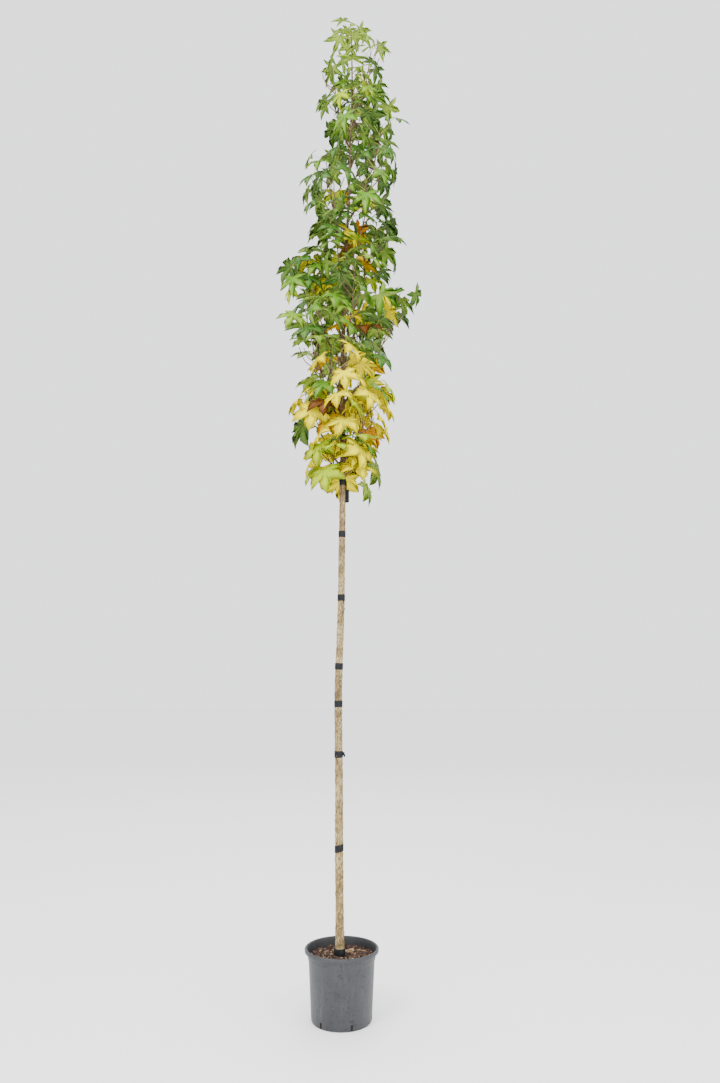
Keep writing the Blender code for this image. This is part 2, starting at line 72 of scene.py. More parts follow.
# The pot and its compost: radius and height along each profile, and how far the compost's top
# falls to its edge. A slot's sizes are into the wall, along it, and up.
POT_HEIGHT = 0.284
POT_OUTSIDE = (
    (0.1500, POT_HEIGHT), (0.1540, 0.2800), (0.1536, 0.2680), (0.1425, 0.2655),
    (0.1395, 0.2400), (0.1368, 0.2360), (0.1252, 0.0080), (0.1215, 0.0), (0.0, 0.0),
)  # fmt: skip
POT_INSIDE = (
    (0.0, 0.0030), (0.1200, 0.0030), (0.1226, 0.0085), (0.1342, 0.2350),
    (0.1370, 0.2395), (0.1395, 0.2650), (0.1448, 0.2820),
)  # fmt: skip
DRAIN_HOLES = 6
DRAIN_FIRST = math.radians(-130)
DRAIN_SIZE = (0.030, 0.009, 0.022)
DRAIN_HEIGHT = 0.0155
COMPOST_TOP = 0.2465
COMPOST_RADIUS = 0.1362
COMPOST_FALL = 0.0040
COMPOST_STEPS = 40
COMPOST_SIDES = 96
COMPOST_CLEAR = GAP * 1.4

# The stem: how far it stands off the pot's axis, and its radius, by height.
STEM_FOOT = COMPOST_TOP + GAP
STEM_TIP = 4.40
STEM_BENDS = (
    (0.20, -0.008, 0.000), (0.85, -0.013, 0.002), (1.28, -0.018, 0.004),
    (1.80, -0.006, 0.001), (2.20, -0.002, -0.002), (2.80, -0.004, 0.003),
    (3.25, 0.010, 0.004), (3.75, 0.026, 0.000), (4.20, 0.038, -0.004), (4.50, 0.034, 0.000),
)  # fmt: skip
STEM_RADII = (
    (0.24, 0.0225), (0.29, 0.0188), (0.45, 0.0171), (1.30, 0.0161), (1.80, 0.0145),
    (2.20, 0.0133), (2.45, 0.0115), (3.00, 0.0086), (3.65, 0.0060), (4.10, 0.0044), (4.50, 0.0026),
)  # fmt: skip
STEM_STEPS = 36

# The tie bands: height of the middle, and how tall each is. Each stretch of the tail has its
# width, thickness, bottom and top, and each lump of the knot how far out and up it sits and its
# half-sizes. A band is wavy at the first size, by the second.
TIE_HEIGHTS = (0.2640, 0.677, 1.063, 1.275, 1.435, 1.733, 2.015, 2.250, 2.479)
TIE_TALL = 0.028
TIE_FOOT_TALL = 0.032
TIE_THICK = 0.0016
TIE_TAIL_OF = 7
TIE_TAIL = ((0.007, 0.0020, -0.045, 0.004), (0.018, 0.0024, -0.095, -0.037))
TIE_TAIL_TURN = math.radians(-25)
TIE_KNOT = (
    (0.004, 0.002, (0.0055, 0.0060, 0.0080)),
    (0.008, -0.006, (0.0040, 0.0035, 0.0070)),
)
TIE_KNOT_Y = -0.004
TIE_KNOT_TILT = 0.4
TIE_STEPS = 48
TIE_EDGE = 0.0005
TIE_WAVE = (0.010, 0.0003)
TIE_TAIL_EDGE = 0.0007
SLANTED_TIE = (1, math.tan(math.radians(13)))
KNOTTED_TIE = 2

# A band's loose end is lapped over it through this turn. It is a little less tall and thick.
TIE_LAP_TURN = math.radians(115)
TIE_LAP_HALF_TALL = 0.44
TIE_LAP_THICK = 0.6
TIE_LAP_SUNK = 0.8

# The leafy head: how far it reaches towards -X and +X of the stem, by height.
HEAD_REACH = (
    (2.14, 0.10, 0.15), (2.22, 0.21, 0.19), (2.50, 0.28, 0.25), (2.75, 0.22, 0.24),
    (2.88, 0.34, 0.24), (3.00, 0.34, 0.33), (3.12, 0.37, 0.37), (3.30, 0.29, 0.40),
    (3.45, 0.25, 0.27), (3.62, 0.25, 0.24), (3.75, 0.27, 0.24), (3.92, 0.26, 0.28),
    (4.05, 0.26, 0.30), (4.18, 0.15, 0.28), (4.35, 0.16, 0.22), (4.50, 0.15, 0.18),
    (4.54, 0.09, 0.07),
)  # fmt: skip
LEAF_REACH = ((2.2, 0.115), (2.9, 0.106), (3.6, 0.096), (4.5, 0.082))
LEAF_CUT = ((2.4, 1.00), (3.2, 0.76))

# The boughs: where each leaves the stem, its turn in degrees, and the out and top of its mass.
BOUGHS = (
    (2.315, 188, 0.16, 2.70), (2.345, 340, 0.15, 2.68), (2.385, 75, 0.16, 2.78),
    (2.502, 262, 0.14, 2.84), (2.525, 140, 0.17, 2.96), (2.562, 212, 0.22, 3.08),
    (2.615, 350, 0.27, 3.20), (2.670, 60, 0.20, 3.24), (2.735, 285, 0.19, 3.30),
    (2.805, 176, 0.20, 3.40), (2.890, 112, 0.17, 3.50), (2.990, 18, 0.15, 3.60),
    (3.110, 240, 0.15, 3.72), (3.240, 330, 0.15, 3.86), (3.370, 150, 0.15, 3.96),
    (3.500, 12, 0.16, 4.08), (3.640, 270, 0.12, 4.16), (3.760, 60, 0.13, 4.24),
    (3.860, 190, 0.10, 4.34), (3.960, 335, 0.11, 4.40),
)  # fmt: skip
BOUGH_SHARE = (0.30, 0.30)
BOUGH_RADII = (0.0064, 0.0030)
BOUGH_STEPS = 10

# The short leafy shoots that sit on the stem itself.
SHOOTS = 7
SHOOT_LOWEST = 2.278
SHOOT_HIGHEST = 3.16
SHOOT_FIRST_TURN = math.radians(32)
SHOOT_LENGTH = 0.13
SHOOT_OUT = (1.05, 0.45)

# Leaves on a mass's stem from a share of its length on, its side twigs, and leaves on each.
ON_BOUGH = Counts(0.04, 8, 2, 3)
ON_STEM = Counts(0.22, 6, 1, 3)
ON_TOP = Counts(0.10, 9, 0, 0)

# The finer growth that only the looks have, on the same stems, and its share by height.
FINE_ON_BOUGH = Counts(0.10, 9, 4, 3)
FINE_ON_STEM = Counts(0.30, 3, 2, 3)
FINE_ON_TOP = Counts(0.16, 2, 0, 0)
FINE_SIZE = (0.82, 1.04)
FINE_SHARE = (
    (2.20, 0.60), (2.36, 0.38), (2.50, 0.06), (2.90, 0.04), (3.08, 0.12), (3.20, 0.95),
    (3.44, 0.95), (3.55, 0.30), (3.68, 0.12), (4.05, 0.20), (4.18, 0.10), (4.30, 0.00),
)  # fmt: skip

SEED = 61
TRIES = 16
CLEARANCE = 0.0012

STEMLET_RADII = (0.0031, 0.0022)
TWIG_RADII = (0.0024, 0.0020)
TWIG_LENGTH = (0.10, 0.17)
STALK_RADIUS = 0.0009
STALK_RADII = (0.0013, 0.0009)
STALK_LENGTH = (0.055, 0.090)
STALK_LEAN = ((2.30, 60, 115), (2.60, 42, 70))
LEAF_THICK = 0.0020
LEAF_SAG = 0.26
LEAF_OUTLINE = ((0, 1.00), (27, 0.47), (54, 0.93), (83, 0.42), (112, 0.68), (165, 0.03))

# How the real blade differs from its solid: thin, folded up along each rib, with full lobes.
# By height, BLADE_WEB is how far out it is webbed, and how full the sides of its lobes are.
BLADE_THICK = 0.0006
BLADE_FOLD = 0.30
BLADE_FOLD_VARIES = (0.4, 1.6)
BLADE_CURL = 0.22
BLADE_HUB = 0.02
NOTCH_OFF_RIB = 0.12
BLADE_WEB = ((2.40, 1.25, 1.0), (3.20, 1.16, 1.0), (4.00, 1.12, 0.9), (4.35, 0.80, 0.6))
LOBE_FULLNESS = ((0.30, 0.150), (0.66, 0.115))
RIB_RADII = (0.0009, 0.0004)
RIB_STOPS = (0.03, 0.5, 0.93)

# A stalk's bow: how much it rises as it leaves, its two handles as shares of its length, and
# how far it runs into the blade.
STALK_RISE = 0.25
STALK_HANDLES = (0.4, 0.3)
STALK_INTO_BLADE = 0.004

# The leaves' tints: upper side, underside and shine. Then the weight of each tint by height.
LEAF_COLOURS = {
    "fresh": ("70941E", "8CA53C", 0.20),
    "green": ("517D14", "769238", 0.20),
    "deep": ("376014", "5E7C34", 0.25),
    "lime": ("98B006", "A6B420", 0.10),
    "yellow": ("DCD000", "D6C400", 0.0),
    "gold": ("E6B400", "DEAA00", 0.0),
    "orange": ("C87C06", "BA801C", 0.0),
    "russet": ("5C3410", "704826", 0.1),
}
TINTS = tuple(LEAF_COLOURS)
TINT_WEIGHTS = (
    (2.14, 0.80, 0.40, 0.00, 1.80, 6.00, 0.40, 0.00, 0.00),
    (2.36, 0.20, 0.60, 0.00, 1.80, 7.00, 0.60, 0.15, 0.00),
    (2.66, 0.30, 1.00, 0.10, 2.40, 7.00, 0.60, 0.30, 0.00),
    (2.82, 1.00, 2.00, 0.30, 3.00, 3.60, 0.40, 0.00, 0.00),
    (2.95, 4.00, 5.00, 1.20, 2.00, 0.50, 0.10, 0.00, 0.00),
    (3.20, 2.00, 6.00, 2.60, 0.80, 0.10, 0.00, 0.00, 0.00),
    (3.55, 0.40, 5.00, 6.50, 0.30, 0.00, 0.00, 0.00, 0.00),
    (3.90, 0.60, 5.00, 5.50, 0.10, 0.00, 0.00, 0.00, 0.00),
    (4.15, 2.00, 6.00, 2.50, 0.20, 0.00, 0.00, 0.00, 0.00),
    (4.30, 6.00, 4.00, 0.60, 0.40, 0.00, 0.00, 0.00, 0.00),
    (4.54, 8.00, 2.00, 0.00, 0.80, 0.00, 0.00, 0.00, 0.00),
)  # fmt: skip

# Leaves this near the stem turn early between these heights. Those below and left of
# LATE_PLACE are still deep green. The others of a spray share a tint, but for this share.
EARLY_WITHIN = 0.085
EARLY_HEIGHTS = (3.00, 3.70)
EARLY_WEIGHTS = (0, 5, 2, 1.5, 3, 1.4, 0.5, 0)
LATE_PLACE = (-0.15, 2.62)
SHARE_OF_OWN_TINT = 0.45

# The two dead leaves are those nearest to these places.
DEAD_LEAVES = (Vector((0.05, -0.12, 2.97)), Vector((-0.09, -0.08, 2.56)))

# The stem's bark: a flake's width and height, and how far it stands out, from BARK_LEVEL of
# that. The relief is pressed down under a band, and is lower where the stem is thinner than
# BARK_WHOLE.
STEM_RINGS = 640
STEM_SIDES = 32
BARK_FLAKE = (0.009, 0.022)
BARK_RELIEF = 0.0030
BARK_LEVEL = 0.35
BARK_UNDER_TIE = 0.3
BARK_WHOLE = 0.014
BARK_SWELL = 0.0006
BARK_SWELL_APART = 0.0625

# The scars of side shoots: how high and how far apart they are, and their half-sizes.
KNOT_HEIGHTS = (0.34, 2.24)
KNOT_SPACING = (0.07, 0.15)
KNOT_WIDE = (0.0035, 0.0055)
KNOT_TALL = (0.003, 0.007)
KNOT_THICK = 0.0030
KNOT_SUNK = 0.0006

# The boughs' bark is a little uneven, at this scale and by this much. The flare where a limb
# leaves its parent dies away within about this many steps.
BOUGH_WAVE = (0.012, 0.0004)
FLARE_STEPS = 1.6

# The pot's steps round, and how much its edges are rounded. Its inside is painted darker, as
# painted shade, from this far under the rim, and it is shaded smooth up to this angle.
POT_STEPS = 120
POT_EDGE = 0.0011
POT_INSIDE_BELOW = 0.003
POT_SMOOTH_TO = math.radians(35)

# On any body, edges past this angle are rounded, in radians.
ROUNDED_PAST = 0.42

# The compost's crumbs and small heaps, as size across and height, and how deep they go.
CRUMBS = (0.009, 0.0022)
HEAPS = (0.030, 0.002)
CRUMBS_DEEP = 0.005

# The bark chips: least, greatest and likeliest length, then width as a share of length, and
# thickness. They lie a little above the compost, tilted, and pale ones are heaped in one clump.
CHIPS = 1500
CHIPS_REACH = 0.133
CHIP_WEIGHTS = (40, 49, 11)
CHIP_LENGTH = (0.006, 0.024, 0.010)
CHIP_WIDTH = (0.3, 0.6)
CHIP_THICK = (0.002, 0.005)
CHIP_LIFT = 0.005
CHIP_TILT = 0.30
CHIP_WORN = (0.62, 1.08)
PALE_CLUMP = Vector((0.034, 0.040, 0))
PALE_CLUMP_RADIUS = 0.016
PALE_LIFT = 0.008
PALE_LENGTHENED = 1.25

# The studio: the light, the floor, and the camera fitted to the photo, with its lens in mm.
SKY_STRENGTH = 2.10
LAMP_AIM = Vector((0, 0, 2.4))
LAMPS = (
    ("key", (-3.0, -4.2, 6.0), 330, 3.0),
    ("front", (0.8, -6.5, 3.2), 320, 4.0),
    ("fill", (4.0, -3.0, 3.5), 120, 3.5),
    ("back", (0.5, 4.5, 6.0), 140, 3.0),
)
FLOOR_SIZE = 25
CAMERA_LENS = 28.266
CAMERA_PLACE = (0.0756, -3.7301, 1.4455)
CAMERA_TILT = math.radians(90 + 8.189)


def by_height(table, z):
    """The values of a table at height z, eased between its rows."""
    for low, high in zip(table, table[1:]):
        if z <= high[0] or high is table[-1]:
            share = min(1.0, max(0.0, (z - low[0]) / (high[0] - low[0])))
            share = share * share * (3 - 2 * share) if len(low) > 2 else share
            return [a + (b - a) * share for a, b in zip(low[1:], high[1:])]
    return list(table[0][1:])


def blend(ends, share):
    return ends[0] + (ends[1] - ends[0]) * share


def turned(angle):
    """The level direction at this angle, 0 towards +X."""
    return Vector((math.cos(angle), math.sin(angle), 0))


def stem_point(z):
    x, y = by_height(STEM_BENDS, z)
    return Vector((x, y, z))


def stem_radius(z):
    return by_height(STEM_RADII, z)[0]


def head_reach(z, direction):
    """How far leaves may reach from the stem at this height, in this level direction."""
    left, right = by_height(HEAD_REACH, z)
    return (left + right) / 2 + (right - left) / 2 * direction.x


# Materials


def linear(colour):
    """An sRGB hex value as linear red, green, blue and alpha."""
    channels = [int(colour[i : i + 2], 16) / 255 for i in (0, 2, 4)]
    return (*[c / 12.92 if c <= 0.04045 else ((c + 0.055) / 1.055) ** 2.4 for c in channels], 1)


def new_material(name):
    """A new material, with its node tree and its Principled BSDF."""
    made = bpy.data.materials.new(name)
    made.use_nodes = True
    return made, made.node_tree, made.node_tree.nodes["Principled BSDF"]


def add_node(tree, kind, links=(), values=(), **settings):
    """Adds a shader node, with its settings, its sockets' values, and its links from others."""
    made = tree.nodes.new("ShaderNode" + kind)
    for name, value in settings.items():
        setattr(made, name, value)
    for socket, value in values:
        made.inputs[socket].default_value = value
    for socket, source in links:
        tree.links.new(source, made.inputs[socket])
    return made


def set_ramp(node, *stops):
    """Sets a ramp's stops, each a place and an sRGB hex colour."""
    ramp = node.color_ramp
    while len(ramp.elements) < len(stops):
        ramp.elements.new(0.5)
    for element, (place, colour) in zip(ramp.elements, stops):
        element.position = place
        element.color = linear(colour)
    return node.outputs["Color"]


def young_bark():
    """Young sweetgum bark: thin, flaky and corky, pale tan with brown flecks.

    It is matt. The flakes are about 6 mm wide and 18 mm tall, and it browns towards the head.
    """
    made, tree, shader = new_material("young_corky_bark")
    place = add_node(tree, "TexCoord").outputs["Object"]
    tall = add_node(tree, "Mapping", [("Vector", place)], [("Scale", (1, 1, 0.33))]).outputs[0]
    flakes = add_node(
        tree, "TexVoronoi", [("Vector", tall)], [("Scale", 1 / 0.006)], feature="DISTANCE_TO_EDGE"
    )
    cloud = add_node(tree, "TexNoise", [("Vector", place)], [("Scale", 1 / 0.040), ("Detail", 5)])
    fleck = add_node(tree, "TexNoise", [("Vector", tall)], [("Scale", 1 / 0.004), ("Detail", 4)])
    pale = set_ramp(
        add_node(tree, "ValToRGB", [("Fac", cloud.outputs[0])]),
        (0.30, "6E5B36"), (0.48, "988254"), (0.70, "B9A67A"),
    )  # fmt: skip
    brown = set_ramp(
        add_node(tree, "ValToRGB", [("Fac", cloud.outputs[0])]),
        (0.32, "5A4230"), (0.52, "7C6044"), (0.72, "9A7D5A"),
    )  # fmt: skip
    height = add_node(tree, "SeparateXYZ", [("Vector", place)]).outputs["Z"]
    crown = add_node(
        tree, "MapRange", [("Value", height)], [("From Min", 1.75), ("From Max", 2.45)]
    )
    base = add_node(
        tree, "Mix", [("Factor", crown.outputs[0]), ("A", pale), ("B", brown)], data_type="RGBA"
    )
    dark = set_ramp(
        add_node(tree, "ValToRGB", [("Fac", fleck.outputs[0])]), (0.42, "5A4A38"), (0.55, "FFFFFF")
    )
    edges = set_ramp(
        add_node(tree, "ValToRGB", [("Fac", flakes.outputs[0])]), (0.0, "8C7A66"), (0.16, "FFFFFF")
    )
    flecked = add_node(
        tree, "Mix", [("A", base.outputs["Result"]), ("B", dark)], [("Factor", 0.70)],
        data_type="RGBA", blend_type="MULTIPLY",
    )  # fmt: skip
    cracked = add_node(
        tree, "Mix", [("A", flecked.outputs["Result"]), ("B", edges)], [("Factor", 0.55)],
        data_type="RGBA", blend_type="MULTIPLY",
    )  # fmt: skip
    bump = add_node(
        tree, "Bump", [("Height", fleck.outputs[0])], [("Strength", 0.8), ("Distance", 0.0018)]
    )
    tree.links.new(cracked.outputs["Result"], shader.inputs["Base Color"])
    tree.links.new(bump.outputs[0], shader.inputs["Normal"])
    shader.inputs["Roughness"].default_value = 0.88
    return made


def limb_bark():
    """Bark of the boughs and twigs: smooth, dark brown, mottled lighter in patches. It is satin."""
    made, tree, shader = new_material("smooth_limb_bark")
    place = add_node(tree, "TexCoord").outputs["Object"]
    cloud = add_node(tree, "TexNoise", [("Vector", place)], [("Scale", 1 / 0.025), ("Detail", 4)])
    colour = set_ramp(
        add_node(tree, "ValToRGB", [("Fac", cloud.outputs[0])]),
        (0.30, "3E2C1F"), (0.52, "5C4430"), (0.74, "80664A"),
    )  # fmt: skip
    grain = add_node(tree, "TexNoise", [("Vector", place)], [("Scale", 1 / 0.003), ("Detail", 3)])
    bump = add_node(
        tree, "Bump", [("Height", grain.outputs[0])], [("Strength", 0.4), ("Distance", 0.0006)]
    )
    tree.links.new(colour, shader.inputs["Base Color"])
    tree.links.new(bump.outputs[0], shader.inputs["Normal"])
    shader.inputs["Roughness"].default_value = 0.72
    return made


def moulded_pot(name, dark, middle, light, roughness):
    """Recycled polypropylene, injection moulded. It is matt, with upright scuffs and smudges."""
    made, tree, shader = new_material(name)
    place = add_node(tree, "TexCoord").outputs["Object"]
    streaks = add_node(tree, "Mapping", [("Vector", place)], [("Scale", (1, 1, 0.12))]).outputs[0]
    scuff = add_node(tree, "TexNoise", [("Vector", streaks)], [("Scale", 1 / 0.012), ("Detail", 6)])
    cloud = add_node(tree, "TexNoise", [("Vector", place)], [("Scale", 1 / 0.060), ("Detail", 5)])
    worn = add_node(
        tree, "Math", [(0, scuff.outputs[0]), (1, cloud.outputs[0])], operation="MULTIPLY"
    )
    colour = set_ramp(
        add_node(tree, "ValToRGB", [("Fac", worn.outputs[0])]),
        (0.12, dark), (0.30, middle), (0.52, light),
    )  # fmt: skip
    smudge = add_node(
        tree, "TexNoise", [("Vector", place)],
        [("Scale", 1 / 0.022), ("Detail", 7), ("Roughness", 0.62), ("Distortion", 1.6)],
    )  # fmt: skip
    marks = set_ramp(
        add_node(tree, "ValToRGB", [("Fac", smudge.outputs[0])]), (0.55, "FFFFFF"), (0.64, "606062")
    )
    smudged = add_node(
        tree, "Mix", [("A", colour), ("B", marks)], [("Factor", 0.75)],
        data_type="RGBA", blend_type="MULTIPLY",
    )  # fmt: skip
    grain = add_node(tree, "TexNoise", [("Vector", place)], [("Scale", 1 / 0.0012), ("Detail", 2)])
    bump = add_node(
        tree, "Bump", [("Height", grain.outputs[0])], [("Strength", 0.25), ("Distance", 0.0003)]
    )
    tree.links.new(smudged.outputs["Result"], shader.inputs["Base Color"])
    tree.links.new(bump.outputs[0], shader.inputs["Normal"])
    shader.inputs["Roughness"].default_value = roughness
    return made


def wood_chip(name, dark, light):
    """Composted bark and wood chips: split along the grain, dull, with 1.5 mm fibres."""
    made, tree, shader = new_material(name)
    place = add_node(tree, "TexCoord").outputs["Object"]
    fibre = add_node(tree, "TexNoise", [("Vector", place)], [("Scale", 1 / 0.006), ("Detail", 6)])
    colour = set_ramp(
        add_node(tree, "ValToRGB", [("Fac", fibre.outputs[0])]), (0.34, dark), (0.66, light)
    )
    bump = add_node(
        tree, "Bump", [("Height", fibre.outputs[0])], [("Strength", 0.8), ("Distance", 0.0015)]
    )
    tree.links.new(colour, shader.inputs["Base Color"])
    tree.links.new(bump.outputs[0], shader.inputs["Normal"])
    shader.inputs["Roughness"].default_value = 0.93
    return made


def tie_rubber():
    """Extruded tie rubber: black, with a grey bloom in patches that softens its shine."""
    made, tree, shader = new_material("extruded_tie_rubber")
    place = add_node(tree, "TexCoord").outputs["Object"]
    bloom = add_node(tree, "TexNoise", [("Vector", place)], [("Scale", 1 / 0.014), ("Detail", 5)])
    colour = set_ramp(
        add_node(tree, "ValToRGB", [("Fac", bloom.outputs[0])]),
        (0.35, "0C0D0F"), (0.60, "15171A"), (0.80, "303338"),
    )  # fmt: skip
    shine = add_node(
        tree, "MapRange", [("Value", bloom.outputs[0])],
        [("From Min", 0.3), ("From Max", 0.7), ("To Min", 0.50), ("To Max", 0.75)],
    )  # fmt: skip
    tree.links.new(colour, shader.inputs["Base Color"])
    tree.links.new(shine.outputs[0], shader.inputs["Roughness"])
    shader.inputs["Specular IOR Level"].default_value = 0.2
    return made


def living_leaf(name, colour, roughness, shine):
    """A leaf's waxy skin, in one autumn tint. It has no pattern."""
    made, _, shader = new_material(name)
    shader.inputs["Base Color"].default_value = linear(colour)
    shader.inputs["Roughness"].default_value = roughness
    shader.inputs["Specular IOR Level"].default_value = shine
    return made


# Shapes


def add_piece(name, work, *materials):
    """Makes a bmesh a piece with these materials, shaded smooth, that rides on the root."""
    mesh = bpy.data.meshes.new(name)
    work.to_mesh(mesh)
    work.free()
    for material in materials:
        mesh.materials.append(material)
    mesh.shade_smooth()
    obj = bpy.data.objects.new(name, mesh)
    bpy.context.scene.collection.objects.link(obj)
    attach(obj, "root")
    return obj


def add_to(work, other):
    """Adds one bmesh's faces to another, and frees it."""
    mesh = bpy.data.meshes.new("passed_on")
    other.to_mesh(mesh)
    other.free()
    work.from_mesh(mesh)
    bpy.data.meshes.remove(mesh)


def limb_bmesh(points, radii, sides):
    """A tapering limb through points, pulled out ring by ring and closed at both ends."""
    work = bmesh.new()
    ring = bmesh.ops.create_circle(work, segments=sides, radius=1.0)["verts"]
    edges = work.edges[:]
    turn = Matrix.Identity(3)
    direction = UP
    placed = Matrix.Identity(4)
    for step, (point, radius) in enumerate(zip(points, radii)):
        if step:
            pulled = bmesh.ops.extrude_edge_only(work, edges=edges)["geom"]
            edges = [part for part in pulled if isinstance(part, bmesh.types.BMEdge)]
            ring = [part for part in pulled if isinstance(part, bmesh.types.BMVert)]
        before = points[max(0, step - 1)]
        after = points[min(len(points) - 1, step + 1)]
        onward = (after - before).normalized()
        turn = direction.rotation_difference(onward).to_matrix() @ turn
        direction = onward
        place = Matrix.Translation(point) @ turn.to_4x4() @ Matrix.Scale(radius, 4)
        bmesh.ops.transform(work, matrix=place @ placed.inverted(), verts=ring)
        placed = place
    bmesh.ops.holes_fill(work, edges=work.edges, sides=0)
    bmesh.ops.recalc_face_normals(work, faces=work.faces)
    return work


def taper(radii, steps):
    return [blend(radii, step / steps) for step in range(steps + 1)]


def spun(profile, steps):
    """A body turned about +Z from a closed profile of radius and height."""
    work = bmesh.new()
    points = [work.verts.new((radius, 0, z)) for radius, z in profile]
    edges = [work.edges.new(pair) for pair in zip(points, points[1:])]
    if profile[0][0] > 0:
        edges.append(work.edges.new((points[-1], points[0])))
    bmesh.ops.spin(
        work, geom=points + edges, cent=(0, 0, 0), axis=(0, 0, 1), angle=math.tau, steps=steps,
        use_merge=True,
    )  # fmt: skip
    bmesh.ops.remove_doubles(work, verts=work.verts, dist=0.00002)
    bmesh.ops.recalc_face_normals(work, faces=work.faces)
    return work


# The rule that the leafy head grows by, as in the CAD part


def bough_lines(number):
    """The points of a bough, and of the foliage stem that goes on from its tip."""
    foot, turn, out, top = BOUGHS[number]
    side = turned(math.radians(turn))
    start = stem_point(foot)
    end = stem_point(top) + side * out
    lift = (top - foot) * 0.5
    first = start + side * out * 0.52 + UP * lift * 0.42
    second = end - side * out * 0.20 - UP * lift * 0.9
    line = interpolate_bezier(start, first, second, end, BOUGH_STEPS + 1)
    cut = round(blend(BOUGH_SHARE, number / (len(BOUGHS) - 1)) * BOUGH_STEPS)
    onward = (line[cut] - line[cut - 1]).normalized()
    carried_on = [line[cut] + onward * GAP, line[cut] + onward * 0.01, *line[cut + 2 :: 2]]
    return line[: cut + 1], carried_on


def shoot_line(number):
    """The points of a short foliage stem that leaves the main stem."""
    share = number / (SHOOTS - 1)
    foot = blend((SHOOT_LOWEST, SHOOT_HIGHEST), share**2)
    side = turned(SHOOT_FIRST_TURN + number * GOLDEN_TURN)
    start = stem_point(foot)
    first = start + side * (stem_radius(foot) + 0.020) + UP * 0.016
    onward = (side * blend(SHOOT_OUT, share) + UP).normalized()
    return [start, first, first + onward * SHOOT_LENGTH]


def top_line():
    """The points of the foliage stem that goes on from the stem's tip."""
    tip = stem_point(STEM_TIP)
    step = (STEM_TIP - STEM_FOOT) / STEM_STEPS
    onward = (tip - stem_point(STEM_TIP - step)).normalized()
    return [tip + onward * GAP, tip + onward * 0.04, tip + onward * 0.085]


def solid_leaf(leaf, thick):
    """The leaf of the CAD part with its stalk, which the rule tests for free space."""
    half = [
        (turn, share * (leaf.cut if row % 2 else 1))
        for row, (turn, share) in enumerate(LEAF_OUTLINE)
    ]
    turns = half + [(-turn, share) for turn, share in reversed(half)][:-1]
    inward = (leaf.root - leaf.joint).normalized()
    rooted_above = inward.dot(leaf.face) > 0
    work = bmesh.new()
    bmesh.ops.create_uvsphere(work, u_segments=len(turns), v_segments=2, radius=1.0)
    ring = [vert for vert in work.verts if abs(vert.co.z) < 0.5]
    ring.sort(key=lambda vert: math.atan2(vert.co.y, vert.co.x) % math.tau)
    notch = ring[len(half) - 1 : len(half) + 1]
    for vert in [vert for vert in work.verts if vert not in ring]:
        above = vert.co.z > 0
        vert.co = (leaf.reach * 0.012, 0, thick / 2 if above else -thick / 2)
        if above == rooted_above:
            notch.append(vert)
    for vert, (turn, share) in zip(ring, turns):
        spot = turned(math.radians(turn)) * share - UP * LEAF_SAG * share * share
        vert.co = spot * leaf.reach
    side = leaf.face.cross(leaf.along)
    turn = Matrix((leaf.along, side, leaf.face)).transposed().to_4x4()
    bmesh.ops.transform(work, matrix=Matrix.Translation(leaf.joint) @ turn, verts=work.verts)
    back = [face for face in work.faces if set(face.verts) == set(notch)]
    edges = back[0].edges[:]
    bmesh.ops.delete(work, geom=back, context="FACES_ONLY")
    centre = sum((vert.co for vert in notch), Vector()) / 3
    first = notch[2].co - centre
    first -= inward * first.dot(inward)
    third = math.copysign(math.tau / 3, first.cross(notch[0].co - centre).dot(inward))
    pulled = bmesh.ops.extrude_edge_only(work, edges=edges)["geom"]
    for vert in [part for part in pulled if isinstance(part, bmesh.types.BMVert)]:
        corner = min(range(3), key=lambda number: (notch[number].co - vert.co).length)
        way = Matrix.Rotation((third, -third, 0)[corner], 3, inward) @ first.normalized()
        vert.co = leaf.root + way * STALK_RADIUS
    bmesh.ops.holes_fill(work, edges=work.edges, sides=0)
    bmesh.ops.recalc_face_normals(work, faces=work.faces)
    return work


class Space:
    """What stands where in the leafy head, so that nothing is put where it would touch."""

    def __init__(self):
        self.taken = []

    @staticmethod
    def measured(work):
        """A body's search tree, and the sphere round it. The body itself is freed."""
        tree = BVHTree.FromBMesh(work)
        centre = sum((vert.co for vert in work.verts), Vector()) / len(work.verts)
        radius = max((vert.co - centre).length for vert in work.verts)
        work.free()
        return tree, centre, radius

    def take(self, owner, body):
        self.taken.append((owner, *body))

    def is_free(self, body, but_for=()):
        """Whether the body meets nothing that is taken, but for what these owners hold."""
        tree, centre, radius = body
        for owner, other, place, size in self.taken:
            near = (place - centre).length < size + radius
            if near and owner not in but_for and tree.overlap(other):
                return False
        return True


def limb_body(limb, extra):
    return Space.measured(limb_bmesh(limb.points, [r + extra for r in limb.radii], 6))


def leaf_tips(leaf):
    """The end of a leaf's stalk, and the tips of its three front lobes."""
    side = leaf.face.cross(leaf.along)
    yield leaf.joint
    outer_turn, outer_share = LEAF_OUTLINE[2]
    for degrees, share in (LEAF_OUTLINE[0], LEAF_OUTLINE[2], (-outer_turn, outer_share)):
        turn = math.radians(degrees)
        spread = leaf.along * math.cos(turn) + side * math.sin(turn)
        yield leaf.joint + (spread * share - leaf.face * LEAF_SAG * share * share) * leaf.reach


def in_reach(leaf):
    """Whether a leaf's front lobes stay inside the outline of the leafy head."""
    for tip in leaf_tips(leaf):
        if not HEAD_REACH[0][0] < tip.z < HEAD_REACH[-1][0]:
            return False
        level = tip - stem_point(tip.z)
        if level.length > head_reach(tip.z, level.normalized()):
            return False
    return True


def in_box(leaf):
    """Whether a leaf's front lobes stay inside the box that the solids fill."""
    low, high = CAD_BOX
    return all(low[axis] < tip[axis] < high[axis] for tip in leaf_tips(leaf) for axis in range(3))


